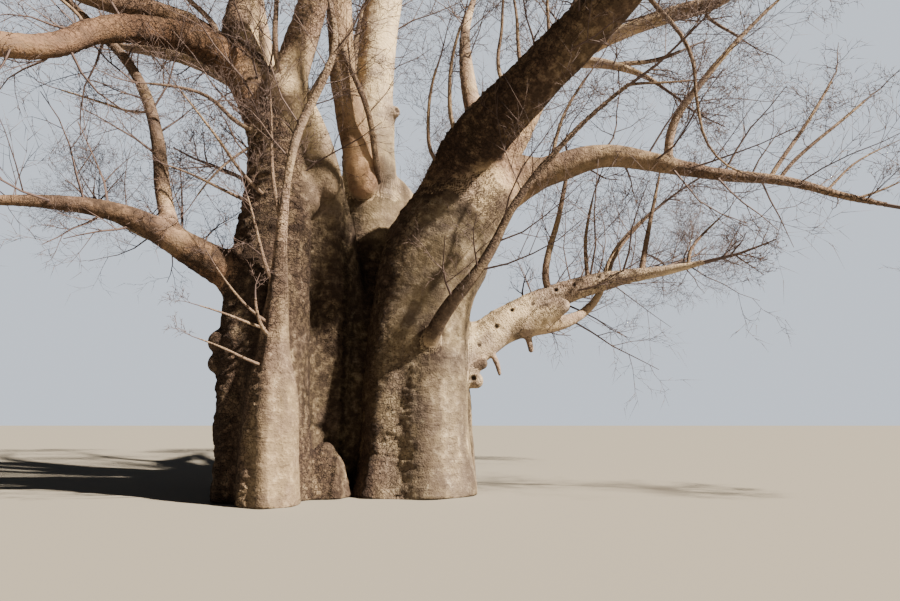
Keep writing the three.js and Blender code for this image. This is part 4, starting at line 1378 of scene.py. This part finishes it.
shootRows = []
for name in boughs:
    shootRows.append(growShoots(lines[name], *shoots["boughs"]))
for name, places in shoots["stems"].items():
    shootRows.append(growShoots(lines[name], *places))
tipLength, tipThickness = shoots["tips"]
for name, line in slimLines.items():
    bare = name in shoots["bare"]
    if not bare:
        shootRows.append(growShoots(line, *shoots["slimLimbs"]))
    shootRows.append({
        "foot": line["point"][-1:],
        "forward": line["forward"][-1:],
        "length": np.array([shoots["bareTip"] if bare else tipLength]),
        "radius": line["radius"][-1:] * tipThickness,
    })
born = joinRows(shootRows)
traced = traceMany(**born, parts=shoots["parts"])
traced["mass"] = np.full(len(born["length"]), -1)
fits = traced["points"][:, :, 2].min(axis=1) > shoots["leastHeight"]
traced = {key: value[fits] for key, value in traced.items()}
shootKept = [(1, traced)]
growFiner(traced, 1, shootKept, shoots["borne"])
for kind, ranked in (("masses'", kept), ("shoots'", shootKept)):
    print(kind, "twigs grown", sum(len(rows["length"]) for _, rows in ranked))


# Sweeps lines and stands fine cones on points: the mesh's edges are lines with their own thickness, and
# its loose points are the feet of fine twigs, each with where it points and how far it reaches
twigMarks = {"thick": "FLOAT", "reach": "FLOAT", "pointing": "FLOAT_VECTOR", "fine": "BOOLEAN"}


def makeTwigTree():
    tree = bpy.data.node_groups.new("twig_sweep", "GeometryNodeTree")
    face = tree.interface
    face.new_socket("Lines", in_out="INPUT", socket_type="NodeSocketGeometry")
    sides = face.new_socket("Sides", in_out="INPUT", socket_type="NodeSocketInt")
    sides.default_value, sides.min_value = 3, 3
    face.new_socket("Thickness", in_out="INPUT", socket_type="NodeSocketFloat").default_value = 1
    face.new_socket("Bark", in_out="INPUT", socket_type="NodeSocketMaterial")
    face.new_socket("Twigs", in_out="OUTPUT", socket_type="NodeSocketGeometry")
    given = add(tree, "NodeGroupInput").outputs
    stored = {}
    for key, kind in twigMarks.items():
        mark = add(tree, "GeometryNodeInputNamedAttribute", {"Name": key}, data_type=kind)
        stored[key] = mark.outputs["Attribute"]
    inputs = {0: stored["thick"], 1: given["Thickness"]}
    thick = add(tree, "ShaderNodeMath", inputs, operation="MULTIPLY").outputs[0]

    ring = add(tree, "GeometryNodeCurvePrimitiveCircle", {"Resolution": given["Sides"], "Radius": 1})
    curve = add(tree, "GeometryNodeMeshToCurve", {"Mesh": given["Lines"]}).outputs["Curve"]
    inputs = {"Curve": curve, "Profile Curve": ring.outputs["Curve"], "Scale": thick, "Fill Caps": True}
    swept = add(tree, "GeometryNodeCurveToMesh", inputs)
    inputs = {"Vertices": given["Sides"], "Radius Bottom": 1, "Depth": 1}
    cone = add(tree, "GeometryNodeMeshCone", inputs)
    turned = add(tree, "FunctionNodeAlignRotationToVector", {"Vector": stored["pointing"]}, axis="Z")
    size = add(tree, "ShaderNodeCombineXYZ", {"X": thick, "Y": thick, "Z": stored["reach"]})
    fine = add(tree, "GeometryNodeInstanceOnPoints", {
        "Points": given["Lines"], "Selection": stored["fine"], "Instance": cone.outputs["Mesh"],
        "Rotation": turned.outputs[0], "Scale": size.outputs[0],
    })
    both = add(tree, "GeometryNodeJoinGeometry")
    tree.links.new(swept.outputs[0], both.inputs[0])
    tree.links.new(fine.outputs[0], both.inputs[0])
    real = add(tree, "GeometryNodeRealizeInstances", {0: both.outputs[0]})
    smooth = add(tree, "GeometryNodeSetShadeSmooth", {0: real.outputs[0], "Shade Smooth": True})
    dressed = add(tree, "GeometryNodeSetMaterial", {0: smooth.outputs[0], "Material": given["Bark"]})
    out = add(tree, "NodeGroupOutput")
    tree.links.new(dressed.outputs[0], out.inputs[0])
    return tree


twigTree = makeTwigTree()


# Makes one piece of swept lines, as blocks of points and radii, and of cones, as blocks of feet, directions,
# lengths and radii
def sweep(name, swept, cones, sides, material, node, marks=None):
    points, radii, edges, count = [], [], [], 0
    for line, radius in swept:
        steps = line.shape[1]
        index = count + np.arange(len(line) * steps).reshape(len(line), steps)
        edges.append(np.stack([index[:, :-1].ravel(), index[:, 1:].ravel()], axis=1))
        points.append(line.reshape(-1, 3))
        radii.append(radius.ravel())
        count += index.size
    linePoints = count
    directions, reach = [np.zeros((count, 3))], [np.zeros(count)]
    for foot, forward, length, radius in cones:
        points.append(foot)
        radii.append(radius)
        directions.append(forward)
        reach.append(length)
        count += len(foot)
    mesh = bpy.data.meshes.new(name)
    mesh.from_pydata(np.concatenate(points), np.concatenate(edges) if edges else [], [])
    values = {
        "thick": np.concatenate(radii), "reach": np.concatenate(reach),
        "pointing": np.concatenate(directions), "fine": np.arange(count) >= linePoints,
    }
    for key, value in values.items():
        writeMark(mesh, key, value, twigMarks[key])
    seedling = bpy.data.objects.new(name + "_lines", mesh)
    bpy.context.scene.collection.objects.link(seedling)
    grower = seedling.modifiers.new("sweep", "NODES")
    grower.node_group = twigTree
    sockets = [item for item in twigTree.interface.items_tree if item.item_type == "SOCKET"]
    keys = {socket.name: socket.identifier for socket in sockets}
    grower[keys["Sides"]] = sides
    grower[keys["Thickness"]] = 1.0
    grower[keys["Bark"]] = material
    ready = seedling.evaluated_get(bpy.context.evaluated_depsgraph_get())
    grown = bpy.data.meshes.new_from_object(ready)
    seedling.modifiers.remove(grower)
    bpy.data.objects.remove(seedling)
    grown.name = name
    for key in twigMarks:
        if key in grown.attributes:
            grown.attributes.remove(grown.attributes[key])
    for key, value in (marks or {}).items():
        writeMark(grown, key, np.full(len(grown.vertices), value))
    addPiece(name, grown, material, node)
    grown.calc_loop_triangles()
    print(name, len(grown.loop_triangles), "triangles")


def splitRows(ranked, keep):
    swept, cones = [], []
    for rank, rows in ranked:
        rows = {key: value[keep(rows)] for key, value in rows.items()}
        if not len(rows["length"]):
            continue
        if rank <= finer["sweptTo"]:
            swept.append((rows["points"], rows["radii"]))
        else:
            steps = rows["points"].shape[1] - 1
            for step in range(steps):
                foot = rows["points"][:, step]
                away = rows["points"][:, step + 1] - foot
                if step < steps - 1:
                    away = away * finer["coneShare"]
                length = np.linalg.norm(away, axis=1)
                cones.append((foot, away / length[:, None], length, rows["radii"][:, step]))
    return swept, cones


for order, name in enumerate(masses):
    swept, cones = splitRows(kept, lambda rows: rows["mass"] == order)
    sweep(name + "_spray", swept, cones, twigRule["sides"], twigBark, name)
print("masses swept")
for side, keep in (("left", lambda x: x < 0), ("right", lambda x: x >= 0)):
    swept, cones = splitRows(shootKept, lambda rows: keep(rows["points"][:, 0, 0]))
    sweep("shoots_" + side, swept, cones, twigRule["sides"], twigBark, None)
print("shoots swept")

# Slim limbs: young rough bark, half darkened with painted shade
slimLook = {"sides": 9, "stride": 3, "marks": {"young": 0.6, "rough": 0.95, "rust": 0.15, "stain": 0.5}}
stride = slimLook["stride"]
limbRows = [(line["point"][None, ::stride], line["radius"][None, ::stride]) for line in slimLines.values()]
sweep("slim_limbs", limbRows, [], slimLook["sides"], trunkBark, None, slimLook["marks"])
print("slim limbs swept")

# Stage: a plain pale floor, soft sky and a strong soft key light from the right
stage = {
    "floor": "#7D7971", "floorReach": 600.0, "roughness": 0.9,
    "sky": "#D5DEEA", "backdrop": 1.2, "fill": 0.1,
    "key": 22.0, "keyColour": "#FFF0DA", "keyFrom": (0.68, -0.377, 0.629), "soft": 1.6,
}
floorMesh = bpy.data.meshes.new("floor")
reach = stage["floorReach"]
corners = [(-reach, -reach, 0), (reach, -reach, 0), (reach, reach, 0), (-reach, reach, 0)]
floorMesh.from_pydata(corners, [], [(0, 1, 2, 3)])
floor = bpy.data.objects.new("floor", floorMesh)
bpy.context.scene.collection.objects.link(floor)
floorLook = bpy.data.materials.new("plain_floor")
floorLook.use_nodes = True
floorShader = floorLook.node_tree.nodes["Principled BSDF"]
floorShader.inputs["Base Color"].default_value = colour(stage["floor"])
floorShader.inputs["Roughness"].default_value = stage["roughness"]
floorMesh.materials.append(floorLook)
world = bpy.data.worlds.new("sky")
world.use_nodes = True
background = world.node_tree.nodes["Background"]
background.inputs["Color"].default_value = colour(stage["sky"])
seen = add(world.node_tree, "ShaderNodeLightPath").outputs["Is Camera Ray"]
inputs = {0: seen, 2: stage["fill"], 3: stage["backdrop"]}
strength = add(world.node_tree, "ShaderNodeMix", inputs, data_type="FLOAT")
world.node_tree.links.new(strength.outputs[0], background.inputs["Strength"])
bpy.context.scene.world = world
keyLight = bpy.data.lights.new("key", "SUN")
keyLight.energy = stage["key"]
keyLight.color = colour(stage["keyColour"])[:3]
keyLight.angle = math.radians(stage["soft"])
keyPlace = bpy.data.objects.new("key", keyLight)
keyPlace.rotation_euler = Vector(stage["keyFrom"]).to_track_quat("Z", "Y").to_euler()
bpy.context.scene.collection.objects.link(keyPlace)
print("stage set")
